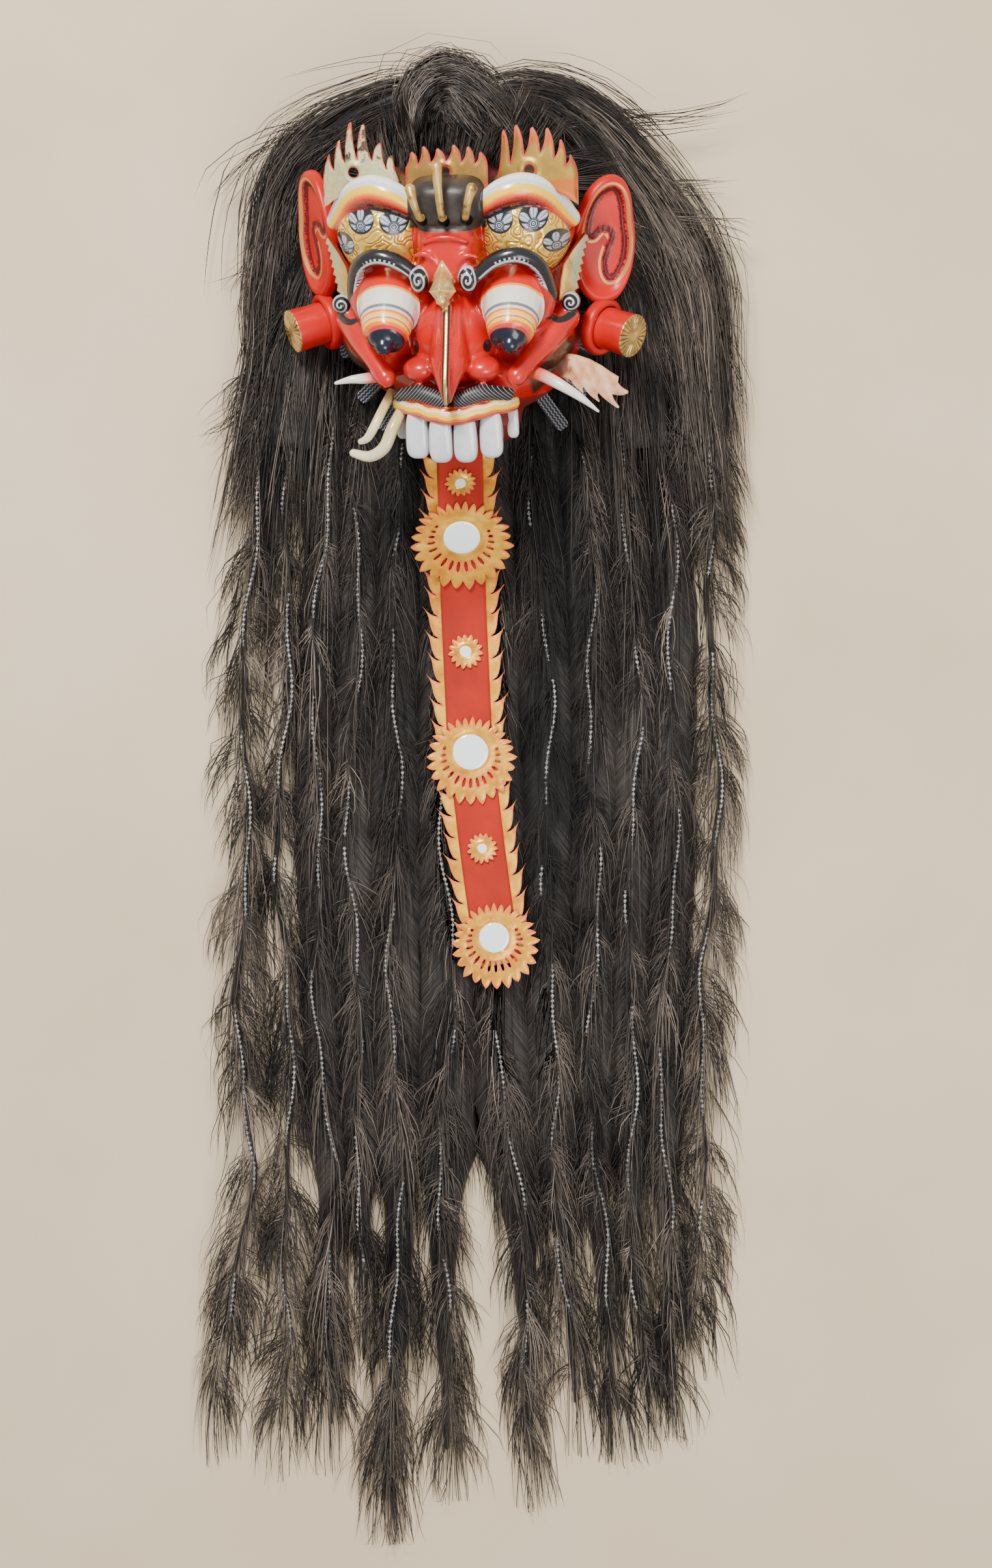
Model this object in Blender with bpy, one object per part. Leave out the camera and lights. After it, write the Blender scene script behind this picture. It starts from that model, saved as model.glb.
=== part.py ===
"""Rangda mask of painted wood, with gilded leather, tusks, a long leather tongue and a mane of hair.

The mask lies on its back on its own hair, face up: +Z out of the face, +Y to the top of the head.
The origin is on the flat underside of the hair cap. All lengths are in metres.
"""

import collections
import math

import bmesh
import bpy
from mathutils import Euler, Matrix, Vector

# Driving dimensions of the carved face.
FACE_HEIGHT = 0.280
FACE_TILT = math.radians(17)
FACE_TURN = math.radians(8)
FACE_SHIFT = -0.003
FACE_BACK = -0.115
SIDE_WALL = 0.015
TOP_WALL = 0.006
CHIN_WALL = 0.020
FRONT_WALL = 0.008

# Ears and their plugs.
EAR_WIDTH = 0.060
EAR_HEIGHT = 0.117
EAR_THICKNESS = 0.008
EAR_RIM = 0.003
EAR_TENON = 0.018
EAR_TURN_LEFT = math.radians(52)
EAR_TURN_RIGHT = math.radians(26)
PLUG_DIAMETER = 0.039
PLUG_LENGTH = 0.043
PLUG_SPLAY = math.radians(30)
LOBE_STRAP = 0.011

# Teeth and tusks.
TOOTH_WIDTH = 0.0215
TOOTH_LENGTH = 0.042
TOOTH_THICKNESS = 0.013
TOOTH_GAP = 0.0011
SIDE_TOOTH_WIDTH = 0.011
SIDE_TOOTH_LENGTH = 0.028
UPPER_TUSK_DIAMETER = 0.012
LOWER_TUSK_DIAMETER = 0.011

# Cut and gilded leather on the face.
LEATHER = 0.0035
CROWN_LEAN = math.radians(8)
HOOK_DIAMETER = 0.0075
HOOK_LENGTH = 0.034
BEARD_LEATHER = 0.0025
BEARD_TAB_WIDTH = 0.013
BEARD_TABS = ((-12, 0.022), (-24, 0.021), (-43, 0.032), (-56, 0.036))

# Tongue of flame-edged leather with a velvet strip, rosettes and round mirrors.
TONGUE_WIDTH = 0.050
TONGUE_FLAME = 0.014
TONGUE_FLAMES = 21
TONGUE_LEATHER = 0.0025
TONGUE_BEND = 0.060
TONGUE_FLOAT = 0.001
TONGUE_COURSE = ((-0.006, -0.415), (0.000, -0.545), (0.011, -0.636), (0.023, -0.725), (0.036, -0.800))
FLAMES_FROM = 0.034
VELVET_WIDTH = 0.042
VELVET_THICKNESS = 0.0012
ROSETTE_THICKNESS = 0.0025
MIRROR_THICKNESS = 0.0015
LARGE_ROSETTES = (0.099, 0.088, 0.086)
LARGE_MIRRORS = (0.034, 0.033, 0.028)
SMALL_ROSETTES = (0.030, 0.034, 0.030)
SMALL_MIRRORS = (0.010, 0.011, 0.009)
FIRST_ROSETTE = 0.058
ROSETTE_SPACES = (0.004, 0.045, 0.043, 0.025, 0.036)

# Hair.
CAP_WIDTH = 0.044
CAP_BULGE = 0.016
UNDER_HAIR = 0.016
LOCK_HEIGHT = 0.026
LOCK_WIDTH = 0.048
LOCK_GAP = 0.0012
LOCK_STEP = 0.085

# Clearance between pieces that touch, and between the mask's rim and the hair under it.
CLEARANCE = 0.0003
RIM_CLEARANCE = 0.004

# The face is carved on a grid of 280 steps from the chin rim to the top rim, with the
# x steps to the right, the y steps up and the z steps out of the flat rim.
GRID = FACE_HEIGHT / 280
VOXEL = 3.2 * GRID

RED = (0.72, 0.035, 0.022)
GOLD = (0.72, 0.47, 0.14)
IVORY = (0.80, 0.74, 0.55)
WHITE = (0.80, 0.80, 0.78)
BLACK = (0.015, 0.014, 0.013)
HAIR = (0.020, 0.015, 0.012)
SILVER = (0.92, 0.92, 0.93)


def clear_scene():
    for obj in list(bpy.data.objects):
        bpy.data.objects.remove(obj)


def paint(obj, colour, roughness, metallic=0.0):
    material = bpy.data.materials.new(obj.name)
    material.use_nodes = True
    shader = material.node_tree.nodes["Principled BSDF"]
    shader.inputs["Base Color"].default_value = (*colour, 1)
    shader.inputs["Roughness"].default_value = roughness
    shader.inputs["Metallic"].default_value = metallic
    obj.data.materials.append(material)


def add_object(name, bm, parent=None, smooth=True):
    bmesh.ops.recalc_face_normals(bm, faces=bm.faces)
    mesh = bpy.data.meshes.new(name)
    bm.to_mesh(mesh)
    bm.free()
    if smooth:
        mesh.shade_smooth()
        mesh.set_sharp_from_angle(angle=math.radians(45))
    obj = bpy.data.objects.new(name, mesh)
    bpy.context.scene.collection.objects.link(obj)
    obj.parent = parent
    return obj


def make_cutter(obj):
    obj.hide_render = True
    obj.display_type = "WIRE"
    return obj


def cut(obj, cutter, operation="DIFFERENCE"):
    modifier = obj.modifiers.new(cutter.name, "BOOLEAN")
    modifier.object = cutter
    modifier.operation = operation
    modifier.solver = "EXACT"


def step(x, y, z):
    return Vector((x, y, z)) * GRID


def smooth_path(points, steps):
    """Points and radii read from a smooth curve through the given stations."""
    out = []
    last = len(points) - 1
    for i in range(last):
        a = points[max(i - 1, 0)]
        b, c = points[i], points[i + 1]
        d = points[min(i + 2, last)]
        for k in range(steps):
            t = k / steps
            bend = 2 * a - 5 * b + 4 * c - d
            twist = 3 * b - a - 3 * c + d
            out.append(0.5 * (2 * b + (c - a) * t + bend * t**2 + twist * t**3))
    return out + [points[last]]


def add_ball(bm, centre, radii, power=2.0, detail=3):
    """An ellipsoid, or with a higher power a box with round corners, in grid steps."""
    made = bmesh.ops.create_icosphere(bm, subdivisions=detail, radius=1)["verts"]
    for vert in made:
        size = sum(abs(c) ** power for c in vert.co) ** (1 / power)
        unit = vert.co / size
        vert.co = step(*(centre[i] + unit[i] * radii[i] for i in range(3)))


def add_roll(bm, points, radii, sides=8, flat=1.0, up=Vector((0, 0, 1))):
    """A closed round bar through the points, as deep along up as flat times its width."""
    rings = []
    count = len(points)
    for i, point in enumerate(points):
        ahead = points[min(i + 1, count - 1)] - points[max(i - 1, 0)]
        across = ahead.cross(up).normalized()
        over = across.cross(ahead).normalized()
        ring = []
        for k in range(sides):
            angle = 2 * math.pi * (k + 0.5) / sides
            offset = across * math.cos(angle) + over * math.sin(angle) * flat
            ring.append(bm.verts.new(point + offset * radii[i]))
        rings.append(ring)
    for ring, after in zip(rings, rings[1:]):
        for k in range(sides):
            bm.faces.new((ring[k], ring[(k + 1) % sides], after[(k + 1) % sides], after[k]))
    bm.faces.new(rings[0][::-1])
    bm.faces.new(rings[-1])
    return rings


def add_grid_roll(bm, stations, radii, steps=3, sides=10):
    """A smooth roll of carving through stations in grid steps, with round ends."""
    packed = [Vector((*place, radius)) for place, radius in zip(stations, radii)]
    smoothed = smooth_path(packed, steps)
    points = [p.xyz * GRID for p in smoothed]
    widths = [p.w * GRID for p in smoothed]
    first, last = points[0], points[-1]
    start = (first - points[1]).normalized() * widths[0]
    end = (last - points[-2]).normalized() * widths[-1]
    ahead = [(0.95, 0.3), (0.6, 0.8)]
    points = [first + start * f for f, _ in ahead] + points + [last + end * f for f, _ in ahead[::-1]]
    widths = [widths[0] * g for _, g in ahead] + widths + [widths[-1] * g for _, g in ahead[::-1]]
    add_roll(bm, points, widths, sides=sides, up=Vector((0.02, 0.3, 1)))


def slab(name, points, faces, place, thickness, parent=None):
    """A sheet of the given thickness. place takes flat x and y, and a height above its middle."""
    bm = bmesh.new()
    top = [bm.verts.new(place(x, y, thickness / 2)) for x, y in points]
    bottom = [bm.verts.new(place(x, y, -thickness / 2)) for x, y in points]
    edges = collections.Counter()
    for face in faces:
        bm.faces.new([top[i] for i in face])
        bm.faces.new([bottom[i] for i in reversed(face)])
        edges.update(tuple(sorted(pair)) for pair in zip(face, face[1:] + face[:1]))
    for (a, b), count in edges.items():
        if count == 1:
            bm.faces.new((top[b], top[a], bottom[a], bottom[b]))
    return add_object(name, bm, parent, smooth=False)


def flame_row(base, valleys, tips, belly=0.5, blunt=0.16):
    """Points and faces of cut flames: base and valleys have one point more than tips."""
    points = list(base) + list(valleys)
    faces = []
    count = len(base)
    for i in range(count - 1):
        faces.append([i, i + 1, count + i + 1, count + i])
        left, right, tip = Vector(valleys[i]), Vector(valleys[i + 1]), Vector(tips[i])
        rise = tip - (left + right) / 2
        wide = right - left
        start = len(points)
        points.append(tuple(left + wide * 0.06 + rise * belly))
        points.append(tuple(tip - wide * blunt))
        points.append(tuple(tip + wide * blunt - rise * 0.08))
        points.append(tuple(right - wide * 0.14 + rise * (belly + 0.06)))
        faces.append([count + i, count + i + 1, start + 3, start + 2, start + 1, start])
    return points, faces


def make_shell(mask):
    """The carved wooden face as one body, before the pieces set in it are let in."""
    bm = bmesh.new()
    add_ball(bm, (0, 22, 8), (110, 104, 84), detail=4)
    add_ball(bm, (0, -42, 6), (107, 84, 78), detail=4)
    add_ball(bm, (0, -94, 46), (50, 40, 66))
    add_ball(bm, (0, -118, 16), (50, 38, 44))
    add_ball(bm, (0, 94, 62), (35, 25, 60), power=4)
    add_ball(bm, (0, 50, 58), (31, 34, 64), power=4)
    add_ball(bm, (0, -34, 82), (40, 46, 46))
    add_ball(bm, (0, -108, 78), (50, 12, 38), power=3)
    add_nose(bm)
    add_jewel(bm)
    lip = [(-50, -92, 97), (-32, -92, 117), (0, -97, 128), (32, -92, 117), (50, -92, 97)]
    add_grid_roll(bm, lip, [9, 9, 9, 9, 9])
    for side in (-1, 1):
        add_side(bm, side)
    bmesh.ops.recalc_face_normals(bm, faces=bm.faces)
    shell = add_object("mask_shell", bm, mask)
    remesh = shell.modifiers.new("one_body", "REMESH")
    remesh.mode = "VOXEL"
    remesh.voxel_size = VOXEL
    smooth = shell.modifiers.new("knife_marks", "SMOOTH")
    smooth.factor = 0.4
    smooth.iterations = 2
    thin = shell.modifiers.new("facets", "DECIMATE")
    thin.ratio = 0.026
    paint(shell, RED, 0.3)
    return shell


def add_nose(bm):
    add_grid_roll(
        bm,
        [(0, 2, 106), (0, -20, 120), (0, -46, 131), (0, -62, 142), (0, -76, 149)],
        [12, 15, 18, 11, 5],
    )
    add_grid_roll(bm, [(0, 4, 124), (0, -36, 143), (0, -62, 156), (0, -79, 158)], [5, 5, 5, 2.5])


def add_jewel(bm):
    """The cut jewel over the nose: two four-sided points, with a boss low on its front."""
    centre = Vector((-3.5, 24, 121))
    ends = [bm.verts.new(step(*(centre + Vector((0, 0, z))))) for z in (27, -30)]
    corners = [(13, -6, 5), (0, 20, -2), (-13, -6, 5), (0, -22, 12)]
    waist = [bm.verts.new(step(*(centre + Vector(corner)))) for corner in corners]
    for k in range(4):
        for end in ends:
            bm.faces.new((waist[k], waist[(k + 1) % 4], end))
    add_ball(bm, (-3.5, 12, 139), (5, 5, 5), detail=2)


def add_side(bm, side):
    """The brow, eye, cheek and temple of one side."""

    def at(x, y, z):
        return (side * x, y, z)

    add_ball(bm, at(62, 66, 50), (48, 52, 62))
    add_grid_roll(
        bm,
        [at(34, 91, 101), at(50, 101, 101), at(70, 105, 96), at(90, 96, 84), at(108, 72, 66)],
        [10, 14, 15, 13, 9],
    )
    add_grid_roll(
        bm,
        [at(27, 30, 118), at(45, 45, 122), at(66, 49, 120), at(84, 36, 109), at(93, 6, 92)],
        [6, 7.5, 8, 7, 4],
    )
    add_ball(bm, at(57, 5, 88), (38, 38, 28))
    add_ball(bm, at(66, -38, 58), (42, 34, 46))
    add_grid_roll(
        bm,
        [
            at(56.5, 12, 89), at(57, 3, 100), at(57, -5, 110), at(57, -12, 118), at(57, -18, 125),
            at(57, -23, 131), at(58, -26, 135), at(58, -29, 139),
        ],
        [28, 28, 26.5, 24.3, 22, 19.3, 15, 8.5],
        steps=1,
    )
    add_grid_roll(
        bm,
        [at(99, -20, 64), at(86, -34, 88), at(71, -49, 110), at(60, -62, 121)],
        [14, 12, 9, 9.5],
    )
    add_ball(bm, at(28, -56, 114), (17, 12, 17))
    add_grid_roll(bm, [at(10, -80, 128), at(28, -75, 124), at(50, -80, 108)], [7, 7, 6])
    add_ball(bm, (side * 22.5 - 3.5, 27, 114), (9, 13, 11))
    add_ball(bm, at(106, -4, 70), (9, 9, 9))


def hollow_shell(shell, mask):
    """Cuts the hollow for the wearer's face, the flat rim and the open mouth."""
    side, front = 107 * GRID - SIDE_WALL, 84 * GRID - FRONT_WALL
    top, chin = 126 * GRID - TOP_WALL, -156 * GRID + CHIN_WALL
    bm = bmesh.new()
    bmesh.ops.create_icosphere(bm, subdivisions=2, radius=1)
    bmesh.ops.scale(bm, vec=(side, (top - chin) / 2, front), verts=bm.verts)
    bmesh.ops.translate(bm, vec=(0, (top + chin) / 2, 0), verts=bm.verts)
    cut(shell, make_cutter(add_object("hollow", bm, mask)))
    bm = bmesh.new()
    bmesh.ops.create_cube(bm, size=1)
    depth = 2 * FACE_HEIGHT
    bmesh.ops.scale(bm, vec=(depth, depth, depth), verts=bm.verts)
    bmesh.ops.translate(bm, vec=(0, 0, -depth / 2), verts=bm.verts)
    cut(shell, make_cutter(add_object("rim_plane", bm, mask)))
    bm = bmesh.new()
    add_ball(bm, (0, -134, 92), (40, 15, 46), detail=2)
    cut(shell, make_cutter(add_object("open_mouth", bm, mask)))


def let_in(shell, pieces):
    """Cuts a close seat in the shell for each piece that is set in it."""
    for piece in pieces:
        seat = bmesh.new()
        seat.from_mesh(piece.data)
        bmesh.ops.recalc_face_normals(seat, faces=seat.faces)
        seat.normal_update()
        moved = [(vert, vert.normal * CLEARANCE * 1.8) for vert in seat.verts]
        for vert, offset in moved:
            vert.co += offset
        cutter = add_object("seat_" + piece.name, seat, piece.parent, smooth=False)
        cutter.matrix_basis = piece.matrix_basis
        cut(shell, make_cutter(cutter))


def make_tooth(name, mask, place, width, length, thickness):
    """A rounded tooth that hangs from its root at place, in grid steps."""
    profile = [(0.0, 0.78, 0.8), (0.22, 0.94, 1.0), (0.62, 1.0, 1.0), (0.88, 0.9, 0.85), (1.0, 0.5, 0.5)]
    bm = bmesh.new()
    rings = []
    for down, wide, deep in profile:
        ring = []
        for k in range(8):
            angle = 2 * math.pi * (k + 0.5) / 8
            x = math.cos(angle) * width / 2 * wide / math.cos(math.pi / 8)
            z = math.sin(angle) * thickness / 2 * deep / math.cos(math.pi / 8)
            ring.append(bm.verts.new(step(*place) + Vector((x, -down * length, z))))
        rings.append(ring)
    for ring, after in zip(rings, rings[1:]):
        for k in range(8):
            bm.faces.new((ring[k], ring[(k + 1) % 8], after[(k + 1) % 8], after[k]))
    bm.faces.new(rings[0])
    bm.faces.new(rings[-1])
    tooth = add_object(name, bm, mask)
    paint(tooth, WHITE, 0.2)
    return tooth


def make_teeth(mask):
    pitch = (TOOTH_WIDTH + TOOTH_GAP) / GRID
    teeth = []
    for i, (x, z) in enumerate([(-1.5, 115), (-0.5, 124), (0.5, 124), (1.5, 115)]):
        y = -99 if abs(x) < 1 else -97
        place = (x * pitch, y, z)
        teeth.append(make_tooth(f"tooth_{i + 1}", mask, place, TOOTH_WIDTH, TOOTH_LENGTH, TOOTH_THICKNESS))
    outer = 2 * pitch + SIDE_TOOTH_WIDTH / 2 / GRID + 0.4
    for side, x in (("left", -outer), ("right", outer)):
        name = "tooth_side_" + side
        size = (SIDE_TOOTH_WIDTH, SIDE_TOOTH_LENGTH, TOOTH_THICKNESS * 0.8)
        teeth.append(make_tooth(name, mask, (x, -98, 92), *size))
    return teeth


def make_tusk(name, mask, stations, widths, diameter, colour):
    """A curved tusk through stations in grid steps, with its widths as shares of its diameter."""
    packed = [Vector((*(step(*place)), width)) for place, width in zip(stations, widths)]
    smoothed = smooth_path(packed, 2)
    points = [p.xyz for p in smoothed]
    radii = [p.w * diameter / 2 for p in smoothed]
    tip = (points[-1] - points[-2]).normalized() * radii[-1]
    points.append(points[-1] + tip)
    radii.append(radii[-1] * 0.55)
    bm = bmesh.new()
    add_roll(bm, points, radii, sides=8)
    tusk = add_object(name, bm, mask)
    paint(tusk, colour, 0.3)
    return tusk


def make_tusks(mask):
    upper, lower = UPPER_TUSK_DIAMETER, LOWER_TUSK_DIAMETER
    return [
        make_tusk(
            "tusk_upper_left", mask,
            [(-64, -66, 96), (-80, -66, 106), (-94, -66, 111), (-108, -69, 111)],
            [0.95, 0.85, 0.6, 0.25], upper, WHITE,
        ),
        make_tusk(
            "tusk_upper_right", mask,
            [(64, -62, 96), (82, -64, 110), (100, -71, 120), (118, -82, 123), (133, -96, 118)],
            [1.05, 1.0, 0.85, 0.6, 0.2], upper, WHITE,
        ),
        make_tusk(
            "tusk_lower_left_outer", mask,
            [(-47, -93, 99), (-57, -111, 114), (-65, -128, 118), (-79, -137, 115), (-95, -135, 110)],
            [1.0, 1.05, 1.05, 0.95, 0.7], lower, IVORY,
        ),
        make_tusk(
            "tusk_lower_left_inner", mask,
            [(-60, -82, 90), (-67, -96, 108), (-73, -108, 117), (-80, -119, 118), (-87, -123, 115)],
            [0.75, 0.8, 0.8, 0.7, 0.5], lower, IVORY,
        ),
    ]


def make_hooks(mask):
    """The three gilded hooks that curl up out of the black brow cap."""
    hooks = []
    for name, x, spread, share in (("left", -20, -8, 0.7), ("centre", 0, -3, 1.3), ("right", 20, 8, 0.7)):
        length = HOOK_LENGTH / GRID * share
        stations = [
            (x, 86, 112), (x, 85, 126), (x + spread * 0.2, 89, 133),
            (x + spread * 0.6, 89 + length * 0.55, 137), (x + spread, 89 + length, 132),
        ]
        packed = [Vector((*(step(*place)), width)) for place, width in zip(stations, [1, 1, 1, 1, 1.1])]
        smoothed = smooth_path(packed, 2)
        bm = bmesh.new()
        add_roll(bm, [p.xyz for p in smoothed], [p.w * HOOK_DIAMETER / 2 for p in smoothed], sides=6,
                 up=Vector((1, 0, 0)))
        hook = add_object("forehead_hook_" + name, bm, mask)
        paint(hook, GOLD, 0.35, 1.0)
        hooks.append(hook)
    return hooks


def stand_up(centre, depth, curve):
    """Places a leather plate that stands at the given depth, leaning back and bowed round the head."""

    def place(x, y, h):
        bow = (x - centre) ** 2 * curve
        back = (y - 100) * math.tan(CROWN_LEAN)
        return step(x, y, depth - bow - back) + Vector((0, 0, h))

    return place


def make_crowns(mask):
    """The three flame-cut plates of gilded leather along the top of the face, each with a round arch."""
    # The arch's place, the heights of the lower edge and of the cuts, and the flame tips.
    plates = {
        "left": (
            (-86, 121), 104, 139, 16,
            [(-109, 137), (-98, 151), (-87, 166), (-76, 164), (-61, 147), (-50, 135)],
        ),
        "centre": (
            (-2, 121), 104, 134, 4,
            [(-32, 139), (-23, 144), (-8, 142), (7, 145), (20, 143), (31, 135)],
        ),
        "right": (
            (75, 121), 104, 142, 16,
            [(51, 156), (63, 162), (78, 160), (93, 157), (103, 146), (111, 132)],
        ),
    }
    made = []
    for name, (arch, low, high, drop, tips) in plates.items():
        centre = (tips[0][0] + tips[-1][0]) / 2
        gaps = [(a[0] + b[0]) / 2 for a, b in zip(tips, tips[1:])]
        edges = [tips[0][0] - 6] + gaps + [tips[-1][0] + 6]
        half = max(abs(e - centre) for e in edges)
        base = [(e, low - drop * ((e - centre) / half) ** 2) for e in edges]
        valleys = [(e, high - drop * 1.3 * ((e - centre) / half) ** 2) for e in edges]
        points, faces = flame_row(base, valleys, tips)
        depth = 94 if name == "centre" else 92
        place = stand_up(centre, depth, 0.002 if name == "centre" else 0.006)
        plate = slab("crown_flame_" + name, points, faces, place, LEATHER, mask)
        bm = bmesh.new()
        matrix = Matrix.Translation(step(*arch, depth - 3))
        radius = 5 * GRID
        bmesh.ops.create_cone(
            bm, cap_ends=True, segments=8, radius1=radius, radius2=radius, depth=8 * LEATHER, matrix=matrix
        )
        cut(plate, make_cutter(add_object("arch_" + name, bm, mask)))
        paint(plate, GOLD, 0.4, 1.0)
        made.append(plate)
    return made


def make_cheek_flame(mask):
    """The worn leather flame that is left on the right cheek."""
    base = [(84, -53), (98, -52), (111, -53), (123, -56), (134, -61), (142, -66)]
    valleys = [(88, -66), (103, -76), (116, -82), (130, -86), (143, -86), (149, -75)]
    tips = [(101, -78), (115, -86), (130, -93), (148, -97), (158, -83)]
    points, faces = flame_row(base, valleys, tips, belly=0.6)

    def place(x, y, h):
        return step(x, y, 66 + (x - 84) * 0.42) + Vector((0, 0, h))

    flame = slab("cheek_flame_right", points, faces, place, LEATHER, mask)
    paint(flame, (0.75, 0.36, 0.22), 0.5)
    return flame


def make_temple_leaf(name, mask, side):
    """The gilded leaf in front of an ear, with a serrated outer edge."""
    spine = [(118, 55), (107, 42), (99, 30), (96, 15), (94, -3)]
    edge = [(120, 53), (116, 40), (113, 26), (110, 12), (106, -4)]
    points = spine + edge
    faces = [[i, i + 1, i + 6, i + 5] for i in range(4)]
    for i in range(4):
        upper, lower = Vector(edge[i]), Vector(edge[i + 1])
        tip = upper.lerp(lower, 0.8) + Vector((3.5, -1))
        points.append(tuple(tip))
        faces.append([5 + i, 6 + i, len(points) - 1])

    def place(x, y, h):
        slope = math.radians(42)
        out = (x - 94) * math.tan(slope)
        return step(side * x, y, 72 - out) + Vector((side * math.sin(slope) * h, 0, math.cos(slope) * h))

    leaf = slab(name, points, faces, place, LEATHER, mask)
    paint(leaf, GOLD, 0.4, 1.0)
    return leaf


def make_beard(name, mask, side):
    """A leather strip behind the jaw rim with four tabs that stand out past it."""
    band = 6 * GRID
    bm_points, faces = [], []
    half = BEARD_TAB_WIDTH / 2
    rows = []
    for degrees, reach in BEARD_TABS:
        angle = math.radians(degrees)
        radius = rim_radius(angle)
        centre = Vector((math.cos(angle), math.sin(angle))) * radius
        out = centre.normalized()
        across = Vector((out.y, -out.x))
        start = len(bm_points)
        outer = centre + out * reach
        inner = centre - out * band
        bm_points += [
            tuple(inner - across * half), tuple(inner + across * half),
            tuple(outer + across * half * 0.9), tuple(outer - across * half * 0.9),
        ]
        faces.append([start + 3, start + 2, start + 1, start])
        rows.append(start)
    for first, second in zip(rows, rows[1:]):
        a, b = first + 1, second
        middle_a = len(bm_points)
        bm_points.append(tuple(Vector(bm_points[a]).lerp(Vector(bm_points[first + 2]), 0.25)))
        bm_points.append(tuple(Vector(bm_points[b]).lerp(Vector(bm_points[second + 3]), 0.25)))
        faces[rows.index(first)].insert(2, middle_a)
        faces[rows.index(second)].append(middle_a + 1)
        faces.append([a, middle_a, middle_a + 1, b])

    def place(x, y, h):
        low = -CLEARANCE - BEARD_LEATHER / 2
        return Vector((side * x, y, low + h)) + step(0, -12, 0)

    beard = slab(name, bm_points, faces, place, BEARD_LEATHER, mask)
    paint(beard, BLACK, 0.6)
    return beard


def rim_radius(angle):
    """The distance from a point low in the hollow to the middle of the rim's lower wall."""
    wide, high = 100 * GRID, 128 * GRID
    return wide * high / math.hypot(high * math.cos(angle), wide * math.sin(angle))


def ear_outline():
    """The ear's outline from its root, as shares of its width and height."""
    return [
        (0.02, 0.30), (0.00, 0.38), (0.00, 0.56), (0.04, 0.64), (0.14, 0.76), (0.30, 0.90), (0.50, 0.985),
        (0.70, 1.0), (0.86, 0.95), (0.95, 0.84), (0.98, 0.68), (1.0, 0.50), (0.96, 0.32), (0.86, 0.16),
        (0.70, 0.04), (0.50, 0.0), (0.30, 0.02), (0.14, 0.10), (0.05, 0.20),
    ]


def add_tenon(bm, rings, side, turn):
    """Runs the ear's inner edge straight into the side of the face."""
    back, front = rings[0], rings[1]
    root = next(f for f in bm.faces if set(f.verts) == {back[1], back[2], front[1], front[2]})
    inward = Matrix.Rotation(-side * turn, 3, "Y") @ Vector((-side * EAR_TENON, 0, 0))
    made = bmesh.ops.extrude_face_region(bm, geom=[root])["geom"]
    bmesh.ops.translate(bm, vec=inward, verts=[g for g in made if isinstance(g, bmesh.types.BMVert)])
    bmesh.ops.delete(bm, geom=[root], context="FACES_ONLY")


# Each ear's turn away from the face, and its root in grid steps.
EARS = {-1: (EAR_TURN_LEFT, (-112, -9, 34)), 1: (EAR_TURN_RIGHT, (103, -15, 34))}


def make_ear(name, mask, side):
    """A carved ear with a raised rim, whose lobe is a loop round its plug."""
    turn, root = EARS[side]
    outline = ear_outline()
    centre = Vector((0.52, 0.48))
    high, low = EAR_THICKNESS + EAR_RIM, EAR_THICKNESS * 0.75
    levels = [(1.0, 0.0), (1.0, EAR_THICKNESS), (0.86, high), (0.66, low)]
    bm = bmesh.new()
    rings = []
    for share, height in levels:
        ring = []
        for across, up in outline:
            flat = centre + (Vector((across, up)) - centre) * share
            ring.append(bm.verts.new((side * flat.x * EAR_WIDTH, flat.y * EAR_HEIGHT, height)))
        rings.append(ring)
    count = len(outline)
    for ring, after in zip(rings, rings[1:]):
        for k in range(count):
            bm.faces.new((ring[k], ring[(k + 1) % count], after[(k + 1) % count], after[k]))
    bm.faces.new(rings[0])
    bm.faces.new(rings[-1])
    add_tenon(bm, rings, side, turn)
    ear = add_object(name, bm, mask)
    ear.matrix_basis = Matrix.Translation(step(*root)) @ Matrix.Rotation(side * turn, 4, "Y")
    paint(ear, RED, 0.3)
    return ear


def lobe_radius():
    return PLUG_DIAMETER / 2 + CLEARANCE * 2 + LOBE_STRAP * 0.6


def plug_frame(side):
    """Places the plug: its local Z runs out of the lobe, forward and a little down."""
    axis = Vector((side * math.cos(PLUG_SPLAY), -0.16, math.sin(PLUG_SPLAY))).normalized()
    turned_axis = axis.to_track_quat("Z", "Y").to_matrix().to_4x4()
    turn, root = EARS[side]
    across = EAR_WIDTH * 0.46
    middle = step(*root) + Vector((side * math.cos(turn) * across, 0, -math.sin(turn) * across))
    middle += Vector((0, LOBE_STRAP * 0.4 - lobe_radius(), EAR_THICKNESS / 2))
    return Matrix.Translation(middle - axis * LOBE_STRAP / 2) @ turned_axis


def make_lobe(ear, mask, side):
    """The strap of the lobe round the plug, joined to the ear."""
    inner = PLUG_DIAMETER / 2 + CLEARANCE * 2
    outer = lobe_radius()
    bm = bmesh.new()
    rings = []
    sides = 14
    for radius, height in ((inner, 0), (outer, 0), (outer, LOBE_STRAP), (inner, LOBE_STRAP)):
        corner = radius / math.cos(math.pi / sides) if radius == inner else radius
        ring = []
        for k in range(sides):
            angle = 2 * math.pi * k / sides
            ring.append(bm.verts.new((corner * math.cos(angle), corner * math.sin(angle), height)))
        rings.append(ring)
    for i, ring in enumerate(rings):
        after = rings[(i + 1) % 4]
        for k in range(sides):
            bm.faces.new((ring[k], ring[(k + 1) % sides], after[(k + 1) % sides], after[k]))
    lobe = add_object("lobe_of_" + ear.name, bm, mask)
    lobe.matrix_basis = plug_frame(side)
    cut(ear, make_cutter(lobe), "UNION")
    return lobe


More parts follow.
